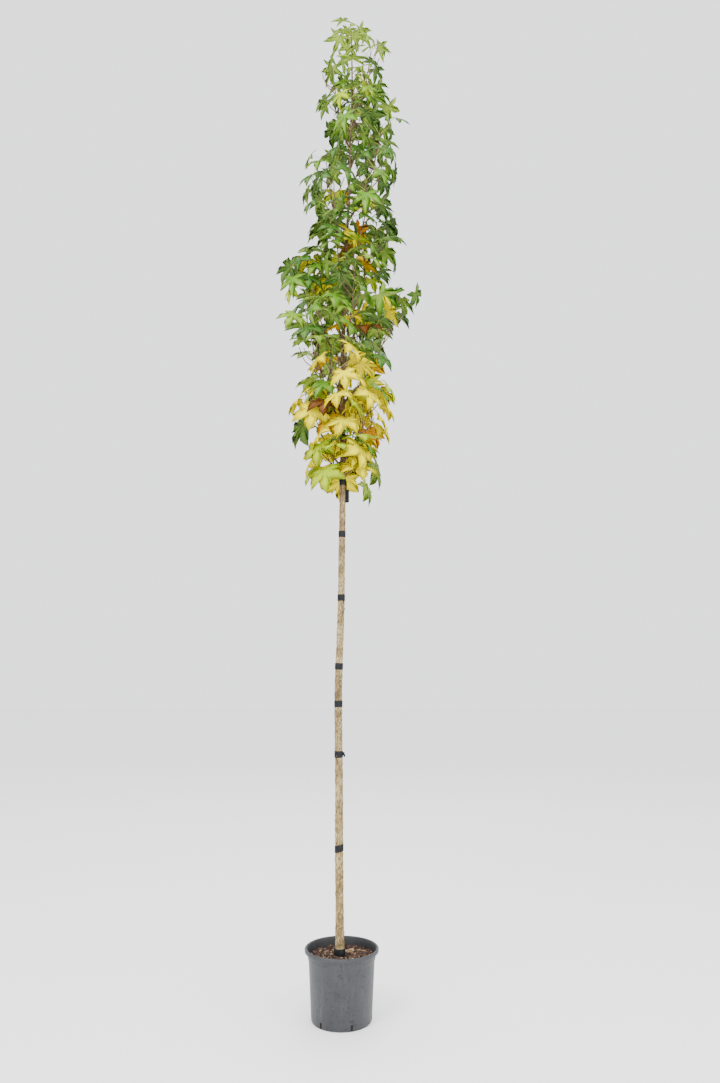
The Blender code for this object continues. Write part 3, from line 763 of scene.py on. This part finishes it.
def propose_leaf(chance, root, tangent, turn):
    """A leaf whose stalk leaves its twig at this turn. Its blade faces up and out, and hangs."""
    side = tangent.orthogonal().normalized()
    side.rotate(Matrix.Rotation(turn, 3, tangent))
    lean = math.radians(chance.uniform(*by_height(STALK_LEAN, root.z)))
    stalk = tangent * math.cos(lean) + side * math.sin(lean)
    joint = root + stalk * chance.uniform(*STALK_LENGTH)
    away = joint - stem_point(joint.z)
    out = away.normalized() * 0.6 + Vector((stalk.x, stalk.y, 0))
    out.z = 0
    out.normalize()
    out.rotate(Matrix.Rotation(math.radians(chance.gauss(0, 24)), 3, UP))
    droop = math.radians(chance.triangular(-12, 84, 40))
    along = out * math.cos(droop) - UP * math.sin(droop)
    face = out * math.sin(droop) + UP * math.cos(droop)
    face.rotate(Matrix.Rotation(math.radians(chance.gauss(0, 20)), 3, along))
    reach = by_height(LEAF_REACH, joint.z)[0] * chance.uniform(0.80, 1.12)
    return Leaf(root, joint, along, face, reach, by_height(LEAF_CUT, joint.z)[0])


def put_leaf(space, owner, chance, root, tangent, turn, size):
    """Puts one leaf on a twig, if a free place is found within a few tries."""
    for attempt in range(TRIES):
        leaf = propose_leaf(chance, root, tangent, turn + chance.gauss(0, 0.25 + 0.12 * attempt))
        if size:
            leaf = leaf._replace(reach=leaf.reach * chance.uniform(*size))
        if not in_reach(leaf) or (size and not in_box(leaf)):
            continue
        grown = leaf._replace(reach=leaf.reach * 1.02)
        blade = grown._replace(root=leaf.joint.lerp(leaf.root, 0.6))
        whole = Space.measured(solid_leaf(grown, LEAF_THICK + 2 * CLEARANCE))
        if space.is_free(whole, (owner,)) and space.is_free(
            Space.measured(solid_leaf(blade, LEAF_THICK + 2 * CLEARANCE))
        ):
            space.take(owner + " leaves", whole)
            return leaf
    return None


def place_on(line, share):
    """The point and direction at a share of a line's length."""
    lengths = [(after - before).length for before, after in zip(line, line[1:])]
    rest = sum(lengths) * share
    for before, after, length in zip(line, line[1:], lengths):
        if rest <= length or after is line[-1]:
            return before.lerp(after, min(1.0, rest / length)), (after - before).normalized()
        rest -= length


def side_twig(chance, line, share, turn):
    """A side twig that leaves the line at a share of its length and curves upwards."""
    root, tangent = place_on(line, share)
    side = tangent.orthogonal().normalized()
    side.rotate(Matrix.Rotation(turn, 3, tangent))
    lean = math.radians(chance.uniform(34, 50))
    length = chance.uniform(*TWIG_LENGTH)
    first = root + (tangent * math.cos(lean) + side * math.sin(lean)) * length * 0.5
    end = first + (side * 0.35 + UP).normalized() * length * 0.5
    return Limb([root, first, end], taper(TWIG_RADII, 2))


def grow_mass(space, owner, stem, counts, seed, size=None):
    """Grows a mass on its stem. It returns its limbs, and each limb's leaves as one spray."""
    chance = random.Random(seed)
    limbs = [stem]
    turn = chance.uniform(0, math.tau)
    for number in range(counts.twigs):
        share = blend((0.14, 0.80), (number + 0.5) / counts.twigs)
        for attempt in range(TRIES):
            angle = turn + number * GOLDEN_TURN + chance.gauss(0, 0.1 + 0.1 * attempt)
            twig = side_twig(chance, stem.points, share, angle)
            body = limb_body(twig, CLEARANCE)
            if space.is_free(body, (owner,)):
                space.take(owner, body)
                limbs.append(twig)
                break
    places = [(0, share, 1.0) for share in spaced(counts.first, 0.995, counts.on_stem)]
    for limb in range(1, len(limbs)):
        places += [(limb, share, 0.0) for share in spaced(0.45, 0.99, counts.on_twig)]
    sprays = [[] for limb in limbs]
    for number, (limb, share, start) in enumerate(places):
        root, tangent = place_on(limbs[limb].points, share)
        if size and chance.random() > by_height(FINE_SHARE, root.z)[0]:
            continue
        leaf = put_leaf(space, owner, chance, root, tangent, start + number * GOLDEN_TURN, size)
        if leaf:
            sprays[limb].append(leaf)
    return limbs, sprays


def spaced(first, last, count):
    return [blend((first, last), step / max(1, count - 1)) for step in range(count)]


def grow_head():
    """All limbs, bare boughs and sprays of leaves of the head, and the names of its masses."""
    space = Space()
    heights = [2.0 + 0.1 * step for step in range(25)]
    for ends in zip(heights, heights[1:]):
        stretch = Limb([stem_point(z) for z in ends], [stem_radius(z) for z in ends])
        space.take("trunk", limb_body(stretch, CLEARANCE))
    for height in TIE_HEIGHTS[TIE_TAIL_OF:]:
        ends = [stem_point(height - TIE_TALL * 0.6), stem_point(height + TIE_TALL * 0.6)]
        band = Limb(ends, [stem_radius(height) + 2 * TIE_THICK] * 2)
        space.take("ties", limb_body(band, CLEARANCE))
    boughs = []
    masses = []
    for number in range(len(BOUGHS)):
        bare, carried_on = bough_lines(number)
        boughs.append(bare)
        body = limb_body(Limb(bare, taper(BOUGH_RADII, len(bare) - 1)), CLEARANCE)
        space.take(f"bough_{number + 1:02d}", body)
        masses.append((f"foliage_{number + 1:02d}", carried_on, ON_BOUGH, FINE_ON_BOUGH))
    for number in range(SHOOTS):
        name = f"foliage_inner_{number + 1:02d}"
        masses.append((name, shoot_line(number), ON_STEM, FINE_ON_STEM))
    masses.append(("foliage_top", top_line(), ON_TOP, FINE_ON_TOP))
    stems = {name: Limb(line, taper(STEMLET_RADII, len(line) - 1)) for name, line, *_ in masses}
    for name, stem in stems.items():
        space.take(name, limb_body(stem, CLEARANCE))
    limbs = []
    sprays = []
    for name, _, counts, _ in masses:
        grown, leafy = grow_mass(space, name, stems[name], counts, f"{SEED} {name}")
        limbs += grown
        sprays += leafy
    for name, _, _, counts in masses:
        grown, leafy = grow_mass(space, name, stems[name], counts, f"fine {name}", FINE_SIZE)
        limbs += grown[1:]
        sprays += leafy
    return boughs, limbs, [spray for spray in sprays if spray], list(stems)


# Leaves


def flipped(point):
    return Vector((point.x, -point.y, 0)) if point else None


def lobe_side(notch, tip, along, out):
    """A point on the bulging side of a lobe, between its notch and its tip."""
    edge = tip - notch
    return notch + edge * along + Vector((-edge.y, edge.x, 0)) * out


def blade_outline(leaf):
    """A blade's outline: each point's place in shares of its reach, and its lobe's tip.

    Leaves low on the tree are webbed far out between full lobes. The top ones are narrow.
    """
    web, full = by_height(BLADE_WEB, leaf.joint.z)
    cut = leaf.cut * web
    bulge = [(along, out * full) for along, out in LOBE_FULLNESS]
    half = []
    for row in (0, 2, 4):
        turn, length = LEAF_OUTLINE[row]
        tip = turned(math.radians(turn)) * length
        if row:
            before, share = LEAF_OUTLINE[row - 1]
            notch = turned(math.radians(before)) * share * cut
            half += [(lobe_side(notch, tip, along, -out), tip) for along, out in bulge]
        half.append((tip, tip))
        after, share = LEAF_OUTLINE[row + 1]
        notch = turned(math.radians(after)) * share * (cut if row < 4 else 1)
        half += [(lobe_side(notch, tip, 1 - along, out), tip) for along, out in reversed(bulge)]
        half.append((notch, None))
    mirrored = [(flipped(point), flipped(tip)) for point, tip in reversed(half[1:])]
    return half + mirrored


def blade_bmesh(leaf, chance):
    """A blade and its paler ribs. The blade is a thin closed body with a hub on each side.

    Round the hubs lie a ring half-way out and the ring of the outline. Each lobe is folded up
    along its rib, sags with the leaf, and curls down by its own share.
    """
    outline = blade_outline(leaf)
    tips = [
        turned(math.radians(sign * turn)) * share
        for turn, share in LEAF_OUTLINE[0:5:2]
        for sign in (1, -1)
    ]
    fold = BLADE_FOLD * chance.uniform(*BLADE_FOLD_VARIES)
    curls = [chance.uniform(0, BLADE_CURL) for tip in tips]

    def risen(point, off_rib):
        curl = curls[max(range(6), key=lambda number: point.dot(tips[number].normalized()))]
        return point + UP * (fold * off_rib - LEAF_SAG * point.length**2 - curl * point.length**4)

    work = bmesh.new()
    bmesh.ops.create_uvsphere(work, u_segments=len(outline), v_segments=4, radius=1.0)
    for vert in work.verts:
        level = round(vert.co.z / 0.7)
        if abs(vert.co.z) > 0.9:
            vert.co = (leaf.reach * BLADE_HUB, 0, math.copysign(BLADE_THICK / 2, vert.co.z))
            continue
        number = round(math.atan2(vert.co.y, vert.co.x) % math.tau / math.tau * len(outline))
        point, tip = outline[number % len(outline)]
        point = point * (0.5 if level else 1.0)
        along_rib = point.dot(tip) / tip.length_squared if tip else 0
        off_rib = (point - tip * along_rib).length if tip else NOTCH_OFF_RIB * point.length
        vert.co = risen(point, off_rib) * leaf.reach + UP * level * BLADE_THICK / 2
    bmesh.ops.recalc_face_normals(work, faces=work.faces)
    for face in work.faces:
        face.material_index = 0 if face.normal.z > 0 else 1
    for tip in tips[1:]:
        line = [risen(tip * share, 0) * leaf.reach for share in RIB_STOPS]
        rib = limb_bmesh(line, taper(RIB_RADII, 2), 3)
        for face in rib.faces:
            face.material_index = 1
        add_to(work, rib)
    side = leaf.face.cross(leaf.along)
    turn = Matrix((leaf.along, side, leaf.face)).transposed().to_4x4()
    bmesh.ops.transform(work, matrix=Matrix.Translation(leaf.joint) @ turn, verts=work.verts)
    keep_in_box(work, leaf.joint)
    return work


def keep_in_box(work, place):
    """Shrinks a body about this place, if it would stand out of the box that the solids fill."""
    low, high = CAD_BOX
    share = 1.0
    for vert in work.verts:
        for axis, value in enumerate(vert.co - place):
            room = (high if value > 0 else low)[axis] - place[axis]
            if abs(value) * share > abs(room):
                share = room / value
    if share < 1.0:
        bmesh.ops.scale(work, vec=(share,) * 3, space=Matrix.Translation(-place), verts=work.verts)


def stalk_bmesh(leaf):
    """A leaf's stalk, bowed upwards, from its twig into the back of the blade."""
    run = (leaf.joint - leaf.root).length
    onward = (leaf.joint - leaf.root).normalized()
    first = leaf.root + (onward + UP * STALK_RISE).normalized() * run * STALK_HANDLES[0]
    second = leaf.joint - (leaf.along + onward).normalized() * run * STALK_HANDLES[1]
    end = leaf.joint + leaf.along * STALK_INTO_BLADE
    line = interpolate_bezier(leaf.root, first, second, end, 6)
    return limb_bmesh(line, taper(STALK_RADII, 5), 4)


def tint_of(chance, joint):
    """A tint at this place. Some near the stem turn early, and those low on the left late."""
    away = (joint - stem_point(joint.z)).length
    weights = by_height(TINT_WEIGHTS, joint.z)
    if away < EARLY_WITHIN and EARLY_HEIGHTS[0] < joint.z < EARLY_HEIGHTS[1]:
        weights = EARLY_WEIGHTS
    if joint.x < LATE_PLACE[0] and joint.z < LATE_PLACE[1]:
        return "deep"
    return chance.choices(TINTS, weights)[0]


def make_leaves(sprays, masses):
    """Deals a tint to each spray, and joins the blades of one tint into one piece."""
    chance = random.Random("tints 2")
    blades = {tint: bmesh.new() for tint in TINTS}
    stalks = bmesh.new()
    leaves = [leaf for spray in sprays for leaf in spray]
    dead = [min(leaves, key=lambda leaf: (leaf.joint - place).length) for place in DEAD_LEAVES]
    for spray in sprays:
        shared = tint_of(chance, sum((leaf.joint for leaf in spray), Vector()) / len(spray))
        for leaf in spray:
            own = tint_of(chance, leaf.joint)
            away = (leaf.joint - stem_point(leaf.joint.z)).length
            alone = away < EARLY_WITHIN or own == "deep" or chance.random() < SHARE_OF_OWN_TINT
            tint = "russet" if leaf in dead else own if alone else shared
            add_to(blades[tint], blade_bmesh(leaf, chance))
            add_to(stalks, stalk_bmesh(leaf))
    stalk_skin = living_leaf("leaf_stalk_skin", "AEB04A", 0.5, 0.3)
    pieces = [add_piece("leaf_stalks", stalks, stalk_skin)]
    for tint, work in blades.items():
        if not work.faces:
            continue
        upper, under, shine = LEAF_COLOURS[tint]
        skin = living_leaf(f"leaf_{tint}_upper", upper, 0.40, shine)
        back = living_leaf(f"leaf_{tint}_underside", under, 0.62, shine)
        pieces.append(add_piece(f"leaves_{tint}", work, skin, back))
    for piece in pieces:
        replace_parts(piece, *masses)


# The stem, boughs and twigs


def make_stem(bark):
    """The stem with the relief of its bark, from its flared foot to the tip."""
    heights = [blend((STEM_FOOT, STEM_TIP), step / STEM_RINGS) for step in range(STEM_RINGS + 1)]
    radii = [stem_radius(z) for z in heights]
    work = limb_bmesh([stem_point(z) for z in heights], radii, STEM_SIDES)
    for vert in work.verts:
        out = vert.co - stem_point(vert.co.z)
        out.z = 0
        wide, high = BARK_FLAKE
        spot = Vector((vert.co.x / wide, vert.co.y / wide, vert.co.z / high))
        flake = noise.turbulence(spot, 3, True)
        wave = noise.noise(vert.co / BARK_SWELL_APART)
        from_tie = min(abs(vert.co.z - height) for height in TIE_HEIGHTS) / TIE_TALL
        pressed = blend((BARK_UNDER_TIE, 1.0), min(1.0, max(0.0, from_tie - 0.5) * 2))
        thick = min(1.0, out.length / BARK_WHOLE) * pressed
        relief = (flake - BARK_LEVEL) * BARK_RELIEF + wave * BARK_SWELL
        vert.co += out.normalized() * relief * thick
    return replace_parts(add_piece("stem_with_bark", work, bark), "trunk")


def make_knots(bark):
    """Healed scars where side shoots were rubbed off, in the spiral that they grew in."""
    chance = random.Random("knots")
    work = bmesh.new()
    height = KNOT_HEIGHTS[0]
    turn = 0.0
    while height < KNOT_HEIGHTS[1]:
        out = turned(turn)
        wide = chance.uniform(*KNOT_WIDE)
        tall = chance.uniform(*KNOT_TALL)
        place = stem_point(height) + out * (stem_radius(height) - KNOT_SUNK)
        knot = bmesh.new()
        bmesh.ops.create_icosphere(knot, subdivisions=2, radius=1.0)
        size = Matrix.Diagonal((KNOT_THICK, wide, tall, 1))
        matrix = Matrix.Translation(place) @ Matrix.Rotation(turn, 4, "Z") @ size
        bmesh.ops.transform(knot, matrix=matrix, verts=knot.verts)
        add_to(work, knot)
        height += chance.uniform(*KNOT_SPACING)
        turn += GOLDEN_TURN
    add_piece("stem_knots", work, bark)


def bark_limb(limb, sides, steps, flare):
    """A limb drawn as one smooth line through its points, flared where it leaves its parent."""
    points = []
    radii = []
    for step in range(steps + 1):
        share = step / steps
        point, _ = place_on(limb.points, share)
        points.append(point)
        level = share * (len(limb.radii) - 1)
        low = min(int(level), len(limb.radii) - 2)
        radius = blend(limb.radii[low : low + 2], level - low)
        radii.append(radius * (1 + flare * math.exp(-share * steps / FLARE_STEPS)))
    for _ in range(2):
        inner = [(a + b * 2 + c) / 4 for a, b, c in zip(points, points[1:], points[2:])]
        points = [points[0], *inner, points[-1]]
    return limb_bmesh(points, radii, sides)


def make_limbs(boughs, limbs, masses, bark):
    """The boughs and twigs, each kind joined into one piece, and flared where they leave."""
    bough_work = bmesh.new()
    for bare in boughs:
        limb = Limb(bare, taper(BOUGH_RADII, len(bare) - 1))
        add_to(bough_work, bark_limb(limb, sides=12, steps=18, flare=0.35))
    for vert in bough_work.verts:
        vert.co += vert.normal * noise.noise(vert.co / BOUGH_WAVE[0]) * BOUGH_WAVE[1]
    piece = add_piece("boughs_with_bark", bough_work, bark)
    names = [f"bough_{number + 1:02d}" for number in range(len(BOUGHS))]
    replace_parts(piece, *names)
    twig_work = bmesh.new()
    for limb in limbs:
        add_to(twig_work, bark_limb(limb, sides=6, steps=8, flare=0.25))
    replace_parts(add_piece("twigs", twig_work, bark), *masses)


# The pot, its compost and the tie bands


def soften(work, width, segments):
    """Rounds the sharp edges of a body by this width."""
    sharp = [
        edge
        for edge in work.edges
        if edge.is_manifold and edge.calc_face_angle() > ROUNDED_PAST
    ]
    bmesh.ops.bevel(
        work, geom=sharp, offset=width, segments=segments, profile=0.5, affect="EDGES",
        clamp_overlap=True, material=-1,
    )  # fmt: skip


def make_pot(outside, inside):
    """The moulded pot: a rolled rim over a shallow step, a tapered wall, and slots at its foot."""
    work = spun(POT_OUTSIDE + POT_INSIDE, POT_STEPS)
    soften(work, POT_EDGE, 2)
    # Inner faces below the rim take the darker inside material, which is painted shade.
    for face in work.faces:
        centre = face.calc_center_median()
        inner = face.normal.dot(Vector((centre.x, centre.y, 0))) < 0
        low = centre.z < POT_HEIGHT - POT_INSIDE_BELOW
        face.material_index = 1 if inner and low else 0
    pot = add_piece("nursery_pot", work, outside, inside)
    holes = bmesh.new()
    for hole in range(DRAIN_HOLES):
        angle = DRAIN_FIRST + hole * math.tau / DRAIN_HOLES
        place = Matrix.Translation(turned(angle) * POT_OUTSIDE[-3][0] + UP * DRAIN_HEIGHT)
        turn = place @ Matrix.Rotation(angle, 4, "Z") @ Matrix.Diagonal((*DRAIN_SIZE, 1))
        bmesh.ops.create_cube(holes, size=1.0, matrix=turn)
    mesh = bpy.data.meshes.new("slots")
    holes.to_mesh(mesh)
    holes.free()
    cutter = bpy.data.objects.new("slots", mesh)
    bpy.context.scene.collection.objects.link(cutter)
    cut = pot.modifiers.new("Slots", "BOOLEAN")
    cut.operation = "DIFFERENCE"
    cut.object = cutter
    bpy.context.view_layer.update()
    graph = bpy.context.evaluated_depsgraph_get()
    pot.data = bpy.data.meshes.new_from_object(pot.evaluated_get(graph))
    pot.modifiers.clear()
    pot.data.set_sharp_from_angle(angle=POT_SMOOTH_TO)
    bpy.data.objects.remove(cutter)
    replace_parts(pot, "pot")


def make_compost(bed, finishes):
    """The compost with its loose crumbs, under a layer of bark chips in three shades."""
    top = []
    for step in range(COMPOST_STEPS + 1):
        fall = COMPOST_FALL * (step / COMPOST_STEPS) ** 2
        top.append((COMPOST_RADIUS * step / COMPOST_STEPS, COMPOST_TOP - fall))
    wall = [(radius - COMPOST_CLEAR, z) for radius, z in reversed(POT_INSIDE[1:5])]
    work = spun(top + wall + [(0.0, POT_INSIDE[1][1] + GAP)], COMPOST_SIDES)
    for vert in work.verts:
        if vert.co.z > COMPOST_TOP - CRUMBS_DEEP:
            crumbs = noise.noise(vert.co / CRUMBS[0]) * CRUMBS[1]
            vert.co.z += crumbs + noise.noise(vert.co / HEAPS[0]) * HEAPS[1]
    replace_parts(add_piece("compost_bed", work, bed), "compost")
    chance = random.Random("chips")
    shades = [bmesh.new() for finish in finishes]
    for number in range(CHIPS):
        reach = CHIPS_REACH * math.sqrt(chance.random())
        place = turned(chance.uniform(0, math.tau)) * reach
        pale = (place - PALE_CLUMP).length < PALE_CLUMP_RADIUS
        lift = COMPOST_TOP + chance.uniform(0, CHIP_LIFT)
        lift += PALE_LIFT * chance.random() if pale else 0
        length = chance.triangular(*CHIP_LENGTH) * (PALE_LENGTHENED if pale else 1)
        width = length * chance.uniform(*CHIP_WIDTH)
        size = Matrix.Diagonal((length, width, chance.uniform(*CHIP_THICK), 1))
        roll = Matrix.Rotation(chance.gauss(0, CHIP_TILT), 4, "X")
        tilt = roll @ Matrix.Rotation(chance.gauss(0, CHIP_TILT), 4, "Y")
        turn = Matrix.Rotation(chance.uniform(0, math.tau), 4, "Z")
        chip = bmesh.new()
        bmesh.ops.create_cube(chip, size=1.0)
        for vert in chip.verts:
            vert.co *= chance.uniform(*CHIP_WORN)
        matrix = Matrix.Translation(place + UP * lift) @ turn @ tilt @ size
        bmesh.ops.transform(chip, matrix=matrix, verts=chip.verts)
        shade = 2 if pale else chance.choices((0, 1, 2), CHIP_WEIGHTS)[0]
        add_to(shades[shade], chip)
    for name, shade, finish in zip(("russet", "dark", "pale"), shades, finishes):
        piece = add_piece(f"bark_chips_{name}", shade, finish)
        piece.data.shade_flat()


def strap(inner, half_tall, thick, angle):
    """A strap bent round +Z through this angle, with soft edges and closed ends."""
    outer = inner + thick
    section = ((inner, -half_tall), (outer, -half_tall), (outer, half_tall), (inner, half_tall))
    work = bmesh.new()
    corners = [work.verts.new((radius, 0, z)) for radius, z in section]
    edges = [work.edges.new(pair) for pair in zip(corners, corners[1:] + corners[:1])]
    bmesh.ops.spin(
        work, geom=corners + edges, cent=(0, 0, 0), axis=(0, 0, 1), angle=angle,
        steps=round(TIE_STEPS * angle / math.tau), use_merge=angle > 6,
    )  # fmt: skip
    bmesh.ops.remove_doubles(work, verts=work.verts, dist=0.00002)
    bmesh.ops.holes_fill(work, edges=work.edges, sides=0)
    bmesh.ops.recalc_face_normals(work, faces=work.faces)
    soften(work, min(TIE_EDGE, thick / 4), 2)
    return work


def make_bands(rubber):
    """The tie bands: each a strap round the stem with its loose end lapped over it."""
    chance = random.Random("bands")
    for number, height in enumerate(TIE_HEIGHTS):
        tall = TIE_TALL if number else TIE_FOOT_TALL
        along = (stem_point(height + 0.02) - stem_point(height - 0.02)).normalized()
        inner = max(stem_radius(height - tall / 2), stem_radius(height + tall / 2)) + GAP
        work = strap(inner, tall / 2, TIE_THICK, math.tau)
        over = inner + TIE_THICK * TIE_LAP_SUNK
        lap = strap(over, tall * TIE_LAP_HALF_TALL, TIE_THICK * TIE_LAP_THICK, TIE_LAP_TURN)
        start = Matrix.Rotation(chance.uniform(0, math.tau), 4, "Z")
        bmesh.ops.transform(lap, matrix=start, verts=lap.verts)
        add_to(work, lap)
        if number == KNOTTED_TIE:
            add_to(work, knot_bmesh(inner))
        if number == SLANTED_TIE[0]:
            for vert in work.verts:
                vert.co.z += vert.co.x * SLANTED_TIE[1]
        for vert in work.verts:
            out = Vector((vert.co.x, vert.co.y, 0)).normalized()
            vert.co += out * noise.noise(vert.co / TIE_WAVE[0] + UP * number) * TIE_WAVE[1]
        turn = UP.rotation_difference(along).to_matrix().to_4x4()
        place = Matrix.Translation(stem_point(height)) @ turn
        bmesh.ops.transform(work, matrix=place, verts=work.verts)
        if number == TIE_TAIL_OF:
            add_to(work, tail_bmesh(height))
        band = add_piece(f"tie_band_{number + 1}", work, rubber)
        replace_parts(band, f"tie_{number + 1}")


def knot_bmesh(inner):
    """The knot of a tied band: two lumps and a short end, on the right of the stem."""
    work = bmesh.new()
    for out, rise, half_sizes in TIE_KNOT:
        place = Matrix.Translation((inner + out, TIE_KNOT_Y, rise))
        turn = place @ Matrix.Rotation(TIE_KNOT_TILT, 4, "X")
        matrix = turn @ Matrix.Diagonal((*half_sizes, 1))
        bmesh.ops.create_icosphere(work, subdivisions=3, radius=1.0, matrix=matrix)
    return work


def tail_bmesh(height):
    """The loose end of a band: a narrow link, and under it a wider tag that bends a little."""
    work = bmesh.new()
    reach = stem_radius(height) + TIE_THICK * 0.6
    for width, thick, bottom, top in TIE_TAIL:
        place = turned(TIE_TAIL_TURN) * (reach + width / 2) + UP * (bottom + top) / 2
        size = Matrix.Diagonal((width, thick, top - bottom, 1))
        turn = Matrix.Rotation(TIE_TAIL_TURN, 4, "Z") @ size
        matrix = Matrix.Translation(stem_point(height) + place) @ turn
        bmesh.ops.create_cube(work, size=1.0, matrix=matrix)
    soften(work, TIE_TAIL_EDGE, 2)
    return work


# The studio


def make_studio():
    """A pale floor, soft lights and the camera at the photo's viewing angle."""
    work = bmesh.new()
    bmesh.ops.create_grid(work, x_segments=1, y_segments=1, size=FLOOR_SIZE)
    mesh = bpy.data.meshes.new("floor")
    work.to_mesh(mesh)
    work.free()
    floor = bpy.data.objects.new("floor", mesh)
    bpy.context.scene.collection.objects.link(floor)
    made, _, shader = new_material("pale_floor")
    shader.inputs["Base Color"].default_value = linear("FAFAF9")
    shader.inputs["Roughness"].default_value = 0.9
    mesh.materials.append(made)

    world = bpy.data.worlds.new("soft_sky")
    world.use_nodes = True
    background = world.node_tree.nodes["Background"]
    background.inputs["Color"].default_value = linear("FAFBFC")
    background.inputs["Strength"].default_value = SKY_STRENGTH
    bpy.context.scene.world = world
    for name, place, energy, size in LAMPS:
        lamp = bpy.data.lights.new(name, "AREA")
        lamp.energy = energy
        lamp.size = size
        light = bpy.data.objects.new(name, lamp)
        light.location = place
        light.rotation_euler = (LAMP_AIM - light.location).to_track_quat("-Z", "Y").to_euler()
        bpy.context.scene.collection.objects.link(light)

    lens = bpy.data.cameras.new("camera")
    lens.lens = CAMERA_LENS
    lens.sensor_width = 36
    camera = bpy.data.objects.new("camera", lens)
    camera.location = CAMERA_PLACE
    camera.rotation_euler = (CAMERA_TILT, 0, 0)
    bpy.context.scene.collection.objects.link(camera)
    bpy.context.scene.camera = camera


make_studio()
boughs, limbs, sprays, masses = grow_head()
print("leaves", sum(len(spray) for spray in sprays))
make_leaves(sprays, masses)
smooth_bark = limb_bark()
make_stem(young_bark())
make_knots(smooth_bark)
make_limbs(boughs, limbs, masses, smooth_bark)
make_pot(
    moulded_pot("moulded_pot_plastic", "232428", "292B2F", "37393E", 0.50),
    # The inside is the same plastic painted darker: painted shade inside the pot.
    moulded_pot("moulded_pot_inside_painted_shade", "121315", "17181A", "222427", 0.60),
)
make_compost(
    wood_chip("composted_bark", "0E0906", "20130C"),
    (
        wood_chip("bark_chip_russet", "301C12", "5C3C2A"),
        wood_chip("bark_chip_dark", "120C08", "2C1D14"),
        wood_chip("bark_chip_pale", "765C40", "A88C6A"),
    ),
)
make_bands(tie_rubber())
